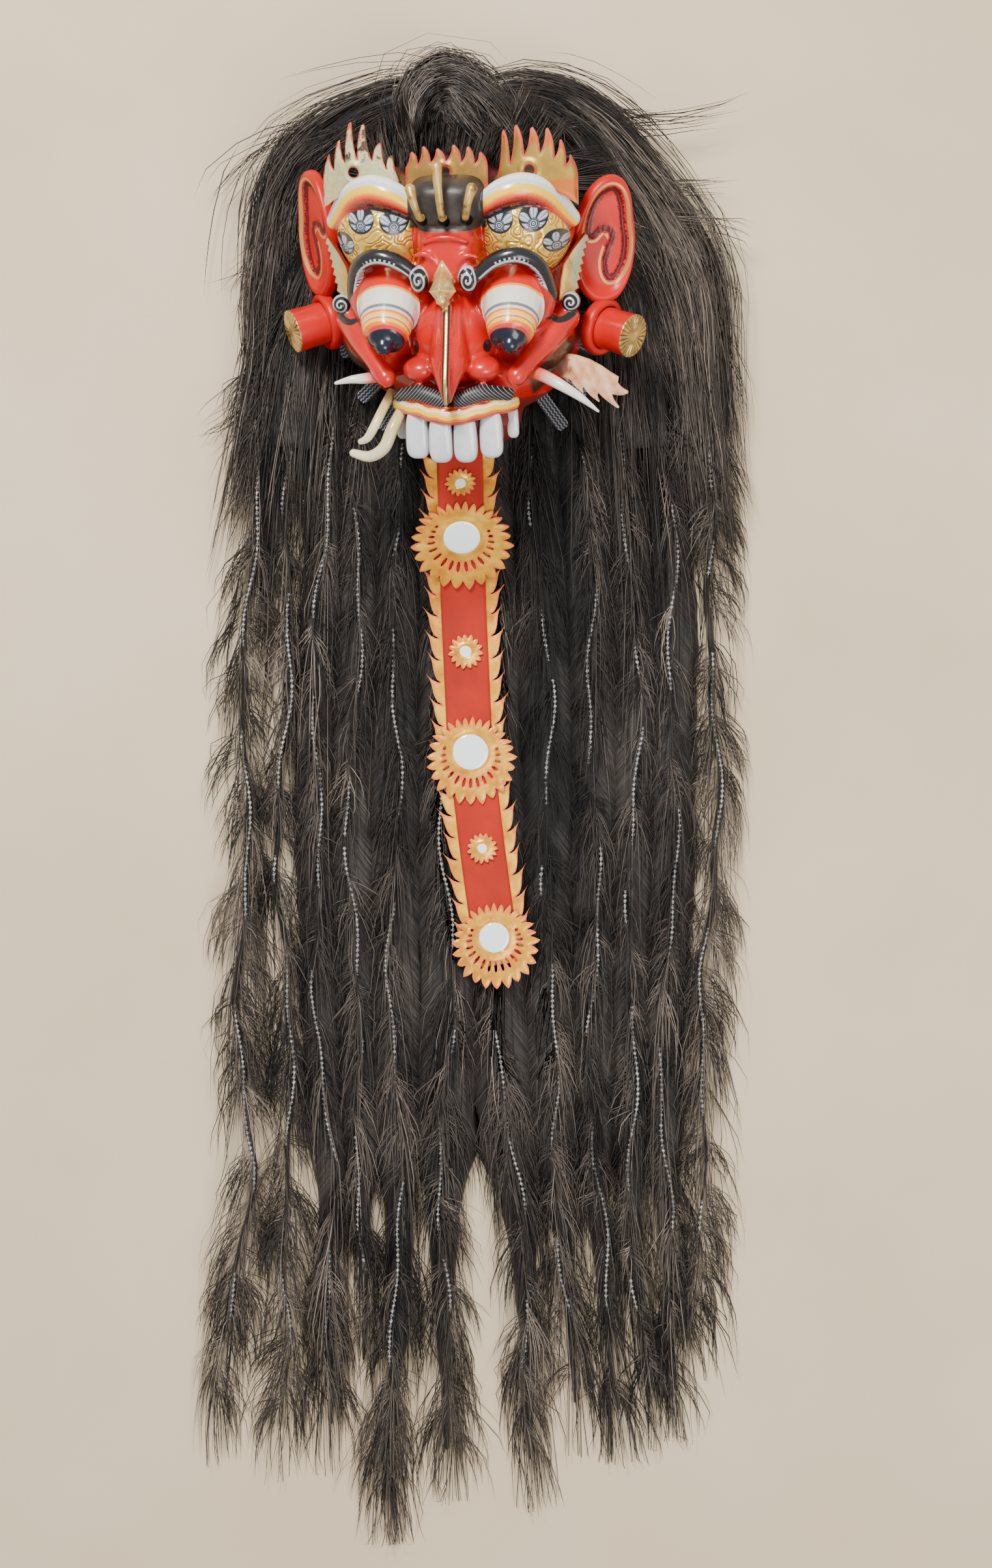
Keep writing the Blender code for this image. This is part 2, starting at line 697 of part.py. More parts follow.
def make_plug(name, mask, side):
    """A round plug with a shallow grooved end."""
    radius = PLUG_DIAMETER / 2
    profile = [(radius * 0.97, -0.006), (radius, 0.3 * PLUG_LENGTH), (radius * 1.04, PLUG_LENGTH - 0.002)]
    sides = 14
    bm = bmesh.new()
    rings = []
    for width, height in profile:
        width = min(width, radius) if height < LOBE_STRAP * 1.5 else width
        ring = []
        for k in range(sides):
            angle = 2 * math.pi * k / sides
            ring.append(bm.verts.new((width * math.cos(angle), width * math.sin(angle), height)))
        rings.append(ring)
    for ring, after in zip(rings, rings[1:]):
        for k in range(sides):
            bm.faces.new((ring[k], ring[(k + 1) % sides], after[(k + 1) % sides], after[k]))
    bm.faces.new(rings[0])
    tip = bm.verts.new((0, 0, PLUG_LENGTH))
    for k in range(sides):
        bm.faces.new((rings[-1][k], rings[-1][(k + 1) % sides], tip))
    plug = add_object(name, bm, mask)
    plug.matrix_basis = plug_frame(side)
    paint(plug, RED, 0.35)
    return plug


def make_face(mask, tongue):
    shell = make_shell(mask)
    hollow_shell(shell, mask)
    ears = [make_ear("ear_left", mask, -1), make_ear("ear_right", mask, 1)]
    set_in = make_crowns(mask) + make_teeth(mask) + make_tusks(mask) + make_hooks(mask) + ears
    set_in.append(make_cheek_flame(mask))
    set_in.append(make_temple_leaf("temple_leaf_left", mask, -1))
    set_in.append(make_temple_leaf("temple_leaf_right", mask, 1))
    for side, ear in zip((-1, 1), ears):
        set_in.append(make_lobe(ear, mask, side))
    set_in.append(make_plug("ear_plug_left", mask, -1))
    set_in.append(make_plug("ear_plug_right", mask, 1))
    let_in(shell, set_in + tongue)
    make_beard("beard_left", mask, -1)
    make_beard("beard_right", mask, 1)


def rounded_path(corners, radius, steps=4):
    """A path of straight runs through the corners, each corner rounded to the radius."""
    out = [corners[0]]
    for before, corner, after in zip(corners, corners[1:], corners[2:]):
        back, ahead = (before - corner).normalized(), (after - corner).normalized()
        half = back.angle(ahead) / 2
        room = min((before - corner).length, (after - corner).length) * 0.45
        reach = min(radius / math.tan(half), room)
        start, end = corner + back * reach, corner + ahead * reach
        for k in range(steps + 1):
            t = k / steps
            out.append(start.lerp(corner, t).lerp(corner.lerp(end, t), t))
    return out + [corners[-1]]


def tongue_path(mask_matrix):
    """The middle line of the tongue's leather, from inside the mouth down to the hair and along it."""
    bed = LOCK_HEIGHT + TONGUE_LEATHER / 2 + TONGUE_FLOAT
    corners = [mask_matrix @ step(0, -112, 80), mask_matrix @ step(0, -136, 88)]
    corners += [Vector((x, y, bed)) for x, y in TONGUE_COURSE]
    return rounded_path(corners, TONGUE_BEND)


def along(path):
    """A function that places a point at a distance along the path, beside it and above it."""
    lengths = [0.0]
    for a, b in zip(path, path[1:]):
        lengths.append(lengths[-1] + (b - a).length)
    last = len(path) - 1

    def place(s, t, h):
        i = max(k for k in range(last) if lengths[k] <= s or k == 0)
        share = (s - lengths[i]) / (lengths[i + 1] - lengths[i])
        here, following = path[i + 1] - path[max(i - 1, 0)], path[min(i + 2, last)] - path[i]
        ahead = here.normalized().lerp(following.normalized(), share).normalized()
        right = Vector((0, 0, 1)).cross(ahead).normalized()
        over = ahead.cross(right).normalized()
        return path[i].lerp(path[i + 1], share) - right * t + over * h

    return place, lengths


def make_tongue(mask_matrix):
    """The leather tongue with its flame-cut edges, and the velvet and rosettes on it."""
    place, lengths = along(tongue_path(mask_matrix))
    stations = rosette_stations()
    end = stations[-1] + LARGE_ROSETTES[-1] * 0.3
    half = TONGUE_WIDTH / 2
    pitch = (end - FLAMES_FROM) / TONGUE_FLAMES
    bends = [s for s in lengths if 0.004 < s < FLAMES_FROM - 0.004]
    middle = [0.0] + bends + [FLAMES_FROM + i * pitch for i in range(TONGUE_FLAMES + 1)]
    points, faces = [], []
    for s in middle:
        points += [(s, -half), (s, half)]
    for i in range(len(middle) - 1):
        faces.append([2 * i, 2 * i + 2, 2 * i + 3, 2 * i + 1])
    first = len(bends) + 1
    for i in range(first, len(middle) - 1):
        for side, corner in ((-1, 2 * i), (1, 2 * i + 1)):
            s = middle[i]
            start = len(points)
            points.append((s + pitch * 0.45, side * (half + TONGUE_FLAME * 0.62)))
            points.append((s - pitch * 0.20, side * (half + TONGUE_FLAME)))
            faces.append([corner + 2, corner, start + 1, start])
    leather = slab("tongue_leather", points, faces, place, TONGUE_LEATHER)
    paint(leather, GOLD, 0.4, 1.0)
    velvet = make_velvet(place, middle)
    make_rosettes(place, stations)
    return [leather, velvet]


def make_velvet(place, middle):
    """The velvet strip, with its bends where the leather has them."""
    half = VELVET_WIDTH / 2
    stations = [middle[0] + 0.003] + middle[1:-1] + [middle[-1] - 0.004]
    points, faces = [], []
    for s in stations:
        points += [(s, -half), (s, half)]
    for i in range(len(stations) - 1):
        faces.append([2 * i, 2 * i + 2, 2 * i + 3, 2 * i + 1])
    lift = TONGUE_LEATHER / 2 + CLEARANCE + VELVET_THICKNESS / 2

    def raised(s, t, h):
        return place(s, t, h + lift)

    velvet = slab("tongue_velvet", points, faces, raised, VELVET_THICKNESS)
    paint(velvet, (0.45, 0.01, 0.012), 0.9)
    return velvet


def disc(radius, sides):
    points, faces = [(0.0, 0.0)], []
    for k in range(sides):
        angle = 2 * math.pi * k / sides
        points.append((radius * math.cos(angle), radius * math.sin(angle)))
        faces.append([0, 1 + k, 1 + (k + 1) % sides])
    return points, faces


def ray_reach(radius, angle, uneven):
    """How far a ray reaches: the rays that point down the tongue are the longest."""
    return radius * (1 - 0.04 * uneven + 0.19 * uneven * math.cos(angle))


def star(radius, rays, depth, seat, uneven):
    """A rosette's flat mesh: a middle, a ring round the mirror's seat and pointed rays."""
    points, faces = [(0.0, 0.0)], []
    for k in range(rays):
        angle = 2 * math.pi * k / rays
        points.append((seat * math.cos(angle), seat * math.sin(angle)))
    for k in range(rays):
        angle = 2 * math.pi * k / rays
        valley = ray_reach(radius, angle, uneven) - depth
        points.append((valley * math.cos(angle), valley * math.sin(angle)))
        middle = angle + math.pi / rays
        tip = ray_reach(radius, middle, uneven)
        points.append((tip * math.cos(middle), tip * math.sin(middle)))
    for k in range(rays):
        after = (k + 1) % rays
        a, b = 1 + k, 1 + after
        low, tip, next_low = 1 + rays + 2 * k, 2 + rays + 2 * k, 1 + rays + 2 * after
        faces.append([0, a, b])
        faces.append([a, low, next_low, b])
        faces.append([low, tip, next_low])
    return points, faces


def rosettes():
    """Each rosette's kind, number, diameter, mirror diameter and unevenness, from the mouth down."""
    kinds = []
    for i in range(3):
        kinds.append(("small", i + 1, SMALL_ROSETTES[i], SMALL_MIRRORS[i], 0.0))
        kinds.append(("large", i + 1, LARGE_ROSETTES[i], LARGE_MIRRORS[i], 1.0))
    return kinds


def rosette_stations():
    """Distances along the tongue of the rosettes' middles, each clear of the one before."""
    stations, edge = [], None
    for (_, _, wide, _, uneven), space in zip(rosettes(), (0.0,) + ROSETTE_SPACES):
        up, down = (ray_reach(wide / 2, angle, uneven) for angle in (math.pi, 0))
        middle = FIRST_ROSETTE if edge is None else edge + space + up
        stations.append(middle)
        edge = middle + down
    return stations


def make_rosettes(place, stations):
    """Six gilded rosettes down the tongue, each with a round mirror."""
    lift = TONGUE_LEATHER / 2 + VELVET_THICKNESS + 2 * CLEARANCE + ROSETTE_THICKNESS / 2
    above = ROSETTE_THICKNESS / 2 + CLEARANCE + MIRROR_THICKNESS / 2
    for (kind, number, wide, mirror, uneven), s in zip(rosettes(), stations):
        rays, share, sides = (12, 0.34, 8) if kind == "small" else (20, 0.22, 16)

        def raised(x, y, h, s=s):
            return place(s + x, y, h + lift)

        def on_top(x, y, h, s=s):
            return place(s + x, y, h + lift + above)

        radius = wide / 2
        points, faces = star(radius, rays, radius * share, mirror / 2 + radius * 0.08, uneven)
        rosette = slab(f"rosette_{kind}_{number}", points, faces, raised, ROSETTE_THICKNESS)
        paint(rosette, GOLD, 0.35, 1.0)
        points, faces = disc(mirror / 2, sides)
        glass = slab(f"mirror_{kind}_{number}", points, faces, on_top, MIRROR_THICKNESS)
        paint(glass, SILVER, 0.05, 1.0)


def cap_ring(offset):
    """Points along the top of the rim, as far outside its middle as offset, in the mask's frame."""
    points = []
    stations = 12
    for i in range(stations + 1):
        angle = math.radians(-76 + 152 * i / stations)
        wide, high = 101 * GRID + offset, 106 * GRID + offset
        points.append(Vector((wide * math.sin(angle), 14 * GRID + high * math.cos(angle), 0)))
    return points


def make_cap(mask_matrix):
    """The cap that carries the hair: a crescent under the top rim, down to its flat underside."""
    inner, outer = cap_ring(-CAP_WIDTH / 2), cap_ring(CAP_WIDTH / 2)
    bm = bmesh.new()
    rings = []
    for near, far in zip(inner, outer):
        top_near = mask_matrix @ (near + Vector((0, 0, -CLEARANCE)))
        top_far = mask_matrix @ (far + Vector((0, 0, -CLEARANCE)))
        away = Vector((top_far.x - top_near.x, top_far.y - top_near.y, 0)).normalized()
        belly = top_far + away * CAP_BULGE
        ring = [
            top_near, top_far, Vector((belly.x, belly.y, belly.z * 0.55)), Vector((belly.x, belly.y, 0)),
            Vector((top_near.x, top_near.y, 0)),
        ]
        rings.append([bm.verts.new(p) for p in ring])
    for ring, after in zip(rings, rings[1:]):
        for k in range(5):
            bm.faces.new((ring[k], ring[(k + 1) % 5], after[(k + 1) % 5], after[k]))
    bm.faces.new(rings[0])
    bm.faces.new(rings[-1])
    cap = add_object("hair_cap", bm)
    paint(cap, HAIR, 0.8)
    return [mask_matrix @ p for p in inner]


# Middle lines of the long locks, from left to right, each from its root to its tip, as x and the
# distance up from the mask's middle, in grid steps, so that the locks keep their place by the face.
LOCK_LINES = (
    ((-196, -82), (-199, -288), (-207, -464), (-211, -677), (-205, -817), (-220, -934), (-240, -1072)),
    ((-155, -11), (-168, -185), (-174, -318), (-180, -501), (-172, -597), (-167, -831),
     (-172, -985), (-180, -1090)),
    ((-128, 21), (-134, -135), (-138, -274), (-146, -464), (-142, -685), (-130, -831), (-128, -965),
     (-130, -1085)),
    ((-98, 21), (-104, -135), (-108, -237), (-113, -445), (-110, -611), (-104, -735), (-98, -885),
     (-100, -1025)),
    ((-66, 55), (-68, -97), (-69, -288), (-73, -445), (-74, -553), (-76, -735), (-70, -905),
     (-82, -1157)),
    ((-28, 75), (-28, -135), (-26, -335), (-22, -538), (-18, -611), (-22, -758), (-27, -885),
     (-22, -1109)),
    ((12, 75), (14, -135), (20, -335), (26, -535), (28, -675), (36, -785), (52, -885), (60, -955),
     (54, -1035), (58, -1118)),
    ((52, 65), (56, -135), (66, -265), (73, -385), (75, -525), (76, -645), (78, -780), (88, -885),
     (96, -985), (100, -1065)),
    ((90, 45), (100, -85), (112, -225), (118, -365), (118, -525), (117, -645), (118, -795),
     (122, -890), (130, -985), (142, -1072)),
    ((122, 21), (140, -115), (152, -235), (156, -365), (154, -525), (150, -685), (152, -835),
     (158, -945), (168, -1060)),
    ((151, 1), (176, -125), (190, -235), (192, -355), (188, -525), (180, -685), (180, -835),
     (188, -945), (194, -1050)),
    ((212, -90), (220, -185), (226, -325), (225, -501), (224, -597), (214, -705), (208, -835),
     (212, -925), (206, -995)),
)


def line_at(line, y):
    """The x of a lock's middle line at y, or None outside its length."""
    if y > line[0][1] or y < line[-1][1]:
        return None
    for (xa, ya), (xb, yb) in zip(line, line[1:]):
        if yb <= y <= ya:
            share = (ya - y) / (ya - yb)
            share = share * share * (3 - 2 * share)
            return xa + (xb - xa) * share
    return line[-1][0]


def lock_section(lines, i, y):
    """The left and right edge and the height of a lock at y."""
    middle = line_at(lines[i], y)
    left = right = LOCK_WIDTH / 2
    for k, other in enumerate(lines):
        x = line_at(other, y)
        if x is None or k == i:
            continue
        share = abs(x - middle) / 2 - LOCK_GAP / 2
        if k < i:
            left = min(left, share)
        else:
            right = min(right, share)
    from_root = lines[i][0][1] - y
    from_tip = y - lines[i][-1][1]
    root = min(1.0, 0.72 + 0.28 * from_root / 0.060)
    tip = min(1.0, 0.14 + 0.86 * (from_tip / 0.150) ** 0.6)
    under = min(max((chin_line() - y) / 0.040, 0.0), 1.0)
    clear_of_face = abs(middle) > 0.120
    height = LOCK_HEIGHT if clear_of_face else UNDER_HAIR + (LOCK_HEIGHT - UNDER_HAIR) * under
    return middle - left * root * tip, middle + right * root * tip, height * (0.35 + 0.65 * tip)


def chin_line():
    return FACE_BACK - 0.56 * FACE_HEIGHT


def make_locks(cap_inner):
    """The long locks of hair that lie side by side on the floor, flat below."""
    lines = [[(x * GRID, FACE_BACK + y * GRID) for x, y in line] for line in LOCK_LINES]
    for line in lines:
        start_x = line[0][0]
        reach = LOCK_WIDTH / 2
        near = [p.y for p in cap_inner if abs(p.x - start_x) < reach + 0.010]
        if near and abs(start_x) < 95 * GRID:
            line[0] = (start_x, min(near) - 2 * CLEARANCE)
    for i, line in enumerate(lines):
        first, last = line[0][1], line[-1][1]
        shared = [-LOCK_STEP * k for k in range(1, 40)]
        rows = [first] + [y for y in shared if last + 0.02 < y < first - 0.02] + [last]
        bm = bmesh.new()
        rings = []
        for y in rows:
            left, right, height = lock_section(lines, i, y)
            wide = right - left
            ring = [
                (left + wide * 0.08, 0), (right - wide * 0.08, 0), (right, height * 0.4),
                (right - wide * 0.26, height), (left + wide * 0.26, height), (left, height * 0.4),
            ]
            rings.append([bm.verts.new((x, y, z)) for x, z in ring])
        for ring, after in zip(rings, rings[1:]):
            for k in range(6):
                bm.faces.new((ring[k], ring[(k + 1) % 6], after[(k + 1) % 6], after[k]))
        bm.faces.new(rings[0])
        bm.faces.new(rings[-1])
        lock = add_object(f"hair_lock_{i + 1:02d}", bm)
        paint(lock, HAIR, 0.7)


# Middle lines of the hair at the top, each as x, y from the mask's middle, z and half its width, in
# grid steps, so that the hair keeps its place round the face.
TOP_HAIR = {
    "left": (
        (-30, 165, 70, 16), (-72, 169, 62, 30), (-114, 157, 46, 40), (-153, 122, 30, 43),
        (-178, 75, 26, 40), (-192, 19, 24, 35), (-204, -35, 22, 25), (-208, -79, 20, 17),
    ),
    "right": (
        (30, 171, 78, 16), (72, 175, 72, 33), (112, 157, 58, 44), (147, 117, 46, 47),
        (172, 71, 36, 46), (194, 23, 30, 39), (211, -30, 26, 30), (220, -87, 22, 18),
    ),
    "centre": (
        (-48, 131, 128, 14), (-50, 157, 126, 19), (-36, 179, 122, 21), (-13, 184, 121, 19),
        (6, 167, 124, 17), (16, 147, 127, 15), (22, 131, 130, 12),
    ),
}


def make_top_hair():
    """The hair that sweeps from the crown to both sides, and the knot between."""
    for name, line in TOP_HAIR.items():
        stations = []
        for x, y, z, wide in line:
            stations.append(Vector((x * GRID, FACE_BACK + y * GRID, z * GRID, wide * GRID)))
        smoothed = smooth_path(stations, 2)
        bm = bmesh.new()
        flat = 0.6
        add_roll(bm, [p.xyz for p in smoothed], [p.w for p in smoothed], sides=8, flat=flat)
        for vert in bm.verts:
            vert.co.z = max(vert.co.z, 0.0)
        hair = add_object("hair_top_" + name, bm)
        paint(hair, HAIR, 0.7)


clear_scene()

# The mask is set on its hair with its top raised. Its chin rim clears the hair that runs under it.
turned = Euler((FACE_TILT, -FACE_TURN, 0), "XYZ").to_matrix()
lowest = min((turned @ step(x, y, 0)).z for x, y in ((-48, -150), (0, -158), (-85, -112)))
face_lift = UNDER_HAIR + RIM_CLEARANCE + BEARD_LEATHER - lowest
mask_set = bpy.data.objects.new("mask_set", None)
bpy.context.scene.collection.objects.link(mask_set)
mask_set.location = (FACE_SHIFT, FACE_BACK, face_lift)
mask_set.rotation_euler = (FACE_TILT, -FACE_TURN, 0)
mask_place = Matrix.Translation(mask_set.location) @ turned.to_4x4()

make_face(mask_set, make_tongue(mask_place))
make_locks(make_cap(mask_place))
make_top_hair()
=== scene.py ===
"""Looks of the rangda mask: carved and painted face, gilded leather, tongue, mirrors and hair.

The mask's own frame is in millimetres: x to the right, y to the top of the head, z out of the
flat rim. MASK_MM takes it to the world, in metres.
"""

import math

import bmesh
import bpy
import numpy as np
from mathutils import Euler, Matrix, Vector, geometry


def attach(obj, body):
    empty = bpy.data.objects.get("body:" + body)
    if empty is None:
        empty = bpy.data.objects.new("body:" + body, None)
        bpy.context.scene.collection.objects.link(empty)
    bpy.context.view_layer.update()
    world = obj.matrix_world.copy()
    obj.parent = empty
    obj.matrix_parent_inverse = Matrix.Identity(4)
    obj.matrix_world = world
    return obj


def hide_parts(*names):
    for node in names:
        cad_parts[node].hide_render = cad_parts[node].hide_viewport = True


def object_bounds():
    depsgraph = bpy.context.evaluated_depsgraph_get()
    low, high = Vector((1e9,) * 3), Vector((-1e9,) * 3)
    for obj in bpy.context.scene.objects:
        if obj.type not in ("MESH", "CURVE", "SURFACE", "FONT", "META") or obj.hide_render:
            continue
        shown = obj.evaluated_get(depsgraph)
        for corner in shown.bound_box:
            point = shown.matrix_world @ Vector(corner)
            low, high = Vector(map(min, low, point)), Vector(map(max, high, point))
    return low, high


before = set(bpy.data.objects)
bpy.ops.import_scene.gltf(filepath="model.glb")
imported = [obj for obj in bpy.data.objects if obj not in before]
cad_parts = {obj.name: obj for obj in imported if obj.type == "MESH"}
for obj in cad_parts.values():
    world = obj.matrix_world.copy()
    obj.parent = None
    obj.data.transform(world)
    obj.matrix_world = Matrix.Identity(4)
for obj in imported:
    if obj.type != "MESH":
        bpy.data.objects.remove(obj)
cad_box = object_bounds()
random = np.random.default_rng(7)

MM = 0.001

# The mask's place, from the same sizes as its solids.
FACE_TILT, FACE_TURN = math.radians(17), math.radians(8)
FACE_SHIFT, FACE_BACK = -0.003, -0.115
HAIR_UNDER_RIM = 0.016 + 0.004 + 0.0025
TURNED = Euler((FACE_TILT, -FACE_TURN, 0), "XYZ").to_matrix()
LOWEST = min((TURNED @ Vector((x, y, 0)) * MM).z for x, y in ((-48, -150), (0, -158), (-85, -112)))
PLACE = (FACE_SHIFT, FACE_BACK, HAIR_UNDER_RIM - LOWEST)
MASK_MM = Matrix.Translation(PLACE) @ TURNED.to_4x4() @ Matrix.Scale(MM, 4)

# Paints. The red varies from place to place between its two shades.
RED_SHADES = (0.46, 0.006, 0.004), (0.60, 0.012, 0.006)
DARK_RED = (0.20, 0.006, 0.006)
DEEP_RED = (0.10, 0.006, 0.006)
ORANGE = (0.86, 0.16, 0.016)
YELLOW = (0.95, 0.58, 0.012)
WHITE = (0.88, 0.86, 0.80)
CREAM = (0.80, 0.76, 0.66)
GREY = (0.16, 0.16, 0.17)
BLACK = (0.012, 0.012, 0.014)
GOLD = (0.80, 0.50, 0.12)


# Camera, light and floor


def set_camera():
    data = bpy.data.cameras.new("camera")
    data.lens = 122.1
    data.sensor_width = 36
    camera = bpy.data.objects.new("camera", data)
    camera.location = (0.0243, -0.5796, 5.0)
    bpy.context.scene.collection.objects.link(camera)
    bpy.context.scene.camera = camera


def area_light(name, place, target, size, power, colour=(1, 1, 1)):
    data = bpy.data.lights.new(name, "AREA")
    data.shape = "RECTANGLE"
    data.size, data.size_y = size
    data.energy = power
    data.color = colour
    light = bpy.data.objects.new(name, data)
    light.location = place
    light.rotation_euler = (Vector(target) - Vector(place)).to_track_quat("-Z", "Y").to_euler()
    bpy.context.scene.collection.objects.link(light)


def set_stage():
    bm = bmesh.new()
    bmesh.ops.create_grid(bm, x_segments=1, y_segments=1, size=6)
    mesh = bpy.data.meshes.new("floor")
    bm.to_mesh(mesh)
    bm.free()
    floor = bpy.data.objects.new("floor", mesh)
    floor.location = (0, -0.6, -0.0006)
    bpy.context.scene.collection.objects.link(floor)
    graph = Graph("floor_paper")
    colour = graph.clouds(2.2, 4, 0.3, 0.7, (0.60, 0.47, 0.31), (0.69, 0.57, 0.40))
    mesh.materials.append(graph.finish(colour=colour, rough=0.85))
    world = bpy.data.worlds.new("soft_room")
    world.use_nodes = True
    background = world.node_tree.nodes["Background"]
    background.inputs["Color"].default_value = (0.95, 0.97, 1.0, 1)
    background.inputs["Strength"].default_value = 0.60
    bpy.context.scene.world = world
    area_light("window", (-0.75, 1.3, 2.6), (0, -0.35, 0.05), (0.55, 0.75), 152, (1.0, 0.98, 0.95))
    area_light("room", (1.4, -1.6, 3.0), (0, -0.6, 0), (1.8, 1.8), 80, (1.0, 0.96, 0.9))


# Material graphs


SHADER_INPUTS = {
    "colour": "Base Color", "metal": "Metallic", "rough": "Roughness", "normal": "Normal",
    "coat": "Coat Weight", "coat_rough": "Coat Roughness", "specular": "Specular IOR Level",
    "sheen": "Sheen Weight", "sheen_rough": "Sheen Roughness", "sheen_tint": "Sheen Tint",
}


class Value:
    """The output of a node, for plain arithmetic between nodes."""

    def __init__(self, graph, socket):
        self.graph, self.socket = graph, socket

    def math(self, operation, *others):
        return self.graph.math(operation, self, *others)

    def __add__(self, other):
        return self.math("ADD", other)

    def __sub__(self, other):
        return self.math("SUBTRACT", other)

    def __rsub__(self, other):
        return self.graph.math("SUBTRACT", other, self)

    def __mul__(self, other):
        return self.math("MULTIPLY", other)

    def __abs__(self):
        return self.math("ABSOLUTE")

    def ripple(self):
        """The size of its sine."""
        return abs(self.math("SINE"))

    def below(self, edge, soft=0.3):
        """1 where the value is under edge, 0 above it, with a narrow slope between."""
        node = self.graph.node("ShaderNodeMapRange", interpolation_type="SMOOTHSTEP", clamp=True)
        limits = (edge - soft, edge + soft, 1.0, 0.0)
        for name, value in zip(("Value", "From Min", "From Max", "To Min", "To Max"), (self, *limits)):
            self.graph.plug(node.inputs[name], value)
        return Value(self.graph, node.outputs["Result"])

    def above(self, edge, soft=0.3):
        return 1.0 - self.below(edge, soft)

    def near(self, middle, reach, soft=0.3):
        """1 within reach of a middle value, 0 further off."""
        return abs(self - middle).below(reach, soft)


class Graph:
    """A material with short calls for its nodes."""

    def __init__(self, name):
        self.material = bpy.data.materials.new(name)
        self.material.use_nodes = True
        self.tree = self.material.node_tree
        self.shader = self.tree.nodes["Principled BSDF"]
        self.frame = None

    def node(self, kind, **settings):
        node = self.tree.nodes.new(kind)
        for key, value in settings.items():
            setattr(node, key, value)
        return node

    def plug(self, socket, value):
        if isinstance(value, Value):
            self.tree.links.new(value.socket, socket)
        elif isinstance(value, tuple) and len(value) == 3 and socket.type == "RGBA":
            socket.default_value = (*value, 1)
        else:
            socket.default_value = value

    def result(self, node, inputs, output=0):
        """The node's output once its inputs, by name or number, are plugged in."""
        for key, value in inputs.items():
            self.plug(node.inputs[key], value)
        return Value(self, node.outputs[output])

    def finish(self, **inputs):
        for key, value in inputs.items():
            self.plug(self.shader.inputs[SHADER_INPUTS[key]], value)
        return self.material

    def attribute(self, name):
        return self.result(self.node("ShaderNodeAttribute", attribute_name=name), {}, "Fac")

    def place(self):
        return self.frame or self.result(self.node("ShaderNodeTexCoord"), {}, "Object")

    def use_mask_frame(self):
        """Makes the textures follow the mask's own frame, in its millimetres."""
        node = self.node("ShaderNodeMapping", vector_type="TEXTURE")
        shift, turn = MASK_MM.to_translation(), MASK_MM.to_euler()
        self.frame = self.result(
            node, {"Vector": self.place(), "Location": shift, "Rotation": turn, "Scale": (MM, MM, MM)}
        )

    def split(self, vector):
        node = self.node("ShaderNodeSeparateXYZ")
        self.plug(node.inputs[0], vector)
        return [Value(self, socket) for socket in node.outputs]

    def math(self, operation, *values):
        return self.result(self.node("ShaderNodeMath", operation=operation), dict(enumerate(values)))

    def largest(self, first, *others):
        for other in others:
            first = first.math("MAXIMUM", other)
        return first

    def mix(self, share, a, b):
        return self.result(self.node("ShaderNodeMix", data_type="RGBA"), {0: share, 6: a, 7: b}, 2)

    def blend(self, share, a, b):
        return self.result(self.node("ShaderNodeMix", data_type="FLOAT"), {0: share, 2: a, 3: b})

    def ramp(self, value, stops, low=0.0, high=1.0):
        """Colours of value by stops, which lie between low and high."""
        node = self.node("ShaderNodeValToRGB")
        elements = node.color_ramp.elements
        while len(elements) < len(stops):
            elements.new(0.5)
        for element, (at, colour) in zip(elements, stops):
            element.position = (at - low) / (high - low)
            element.color = (*colour, 1)
        if (low, high) != (0.0, 1.0):
            value = (value - low) * (1 / (high - low))
        return self.result(node, {0: value})

    def noise(self, scale, detail=3, roughness=0.55, vector=None):
        inputs = {"Vector": vector or self.place(), "Scale": scale, "Detail": detail, "Roughness": roughness}
        return self.result(self.node("ShaderNodeTexNoise"), inputs, "Fac")

    def clouds(self, scale, detail, low, high, first, second):
        """Noise that runs between two colours."""
        return self.ramp(self.noise(scale, detail), [(low, first), (high, second)])

    def cracks(self, scale):
        node = self.node("ShaderNodeTexVoronoi", feature="DISTANCE_TO_EDGE")
        return self.result(node, {"Vector": self.place(), "Scale": scale}, "Distance")

    def bump(self, height, strength, distance, normal=None):
        inputs = {"Height": height, "Strength": strength, "Distance": distance}
        if normal is not None:
            inputs["Normal"] = normal
        return self.result(self.node("ShaderNodeBump"), inputs)


def bands(stops, soft):
    """Ramp stops for flat bands of colour: pairs of end and colour, each edge soft wide."""
    out = []
    for i, (end, colour) in enumerate(stops):
        if i:
            out.append((stops[i - 1][0] + soft, colour))
        if i < len(stops) - 1:
            out.append((end - soft, colour))
    return out


# Mesh helpers


def finish_piece(obj, slot, replaced):
    bpy.context.scene.collection.objects.link(obj)
    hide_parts(*replaced)
    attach(obj, "root")
    return obj


def array_mesh(name, points, faces, material, attributes=None):
    """A smooth mesh from a numpy array of points and one of equal-sided faces."""
    mesh = bpy.data.meshes.new(name)
    mesh.vertices.add(len(points))
    mesh.vertices.foreach_set("co", np.ascontiguousarray(points, np.float32).ravel())
    mesh.loops.add(faces.size)
    mesh.loops.foreach_set("vertex_index", np.ascontiguousarray(faces, np.int32).ravel())
    mesh.polygons.add(len(faces))
    mesh.polygons.foreach_set("loop_start", np.arange(0, faces.size, faces.shape[1], dtype=np.int32))
    mesh.polygons.foreach_set("use_smooth", np.full(len(faces), True))
    mesh.update(calc_edges=True)
    for key, values in (attributes or {}).items():
        layer = mesh.attributes.new(key, "FLOAT", "POINT")
        layer.data.foreach_set("value", np.ascontiguousarray(values, np.float32))
    mesh.materials.append(material)
    return bpy.data.objects.new(name, mesh)


def wall_faces(rings, sides):
    """Triangles between each ring of points and the next."""
    i, k = np.meshgrid(np.arange(rings - 1), np.arange(sides), indexing="ij")
    a, b = (i * sides + k).ravel(), (i * sides + (k + 1) % sides).ravel()
    return np.column_stack([a, b, b + sides, a, b + sides, a + sides]).reshape(-1, 3)


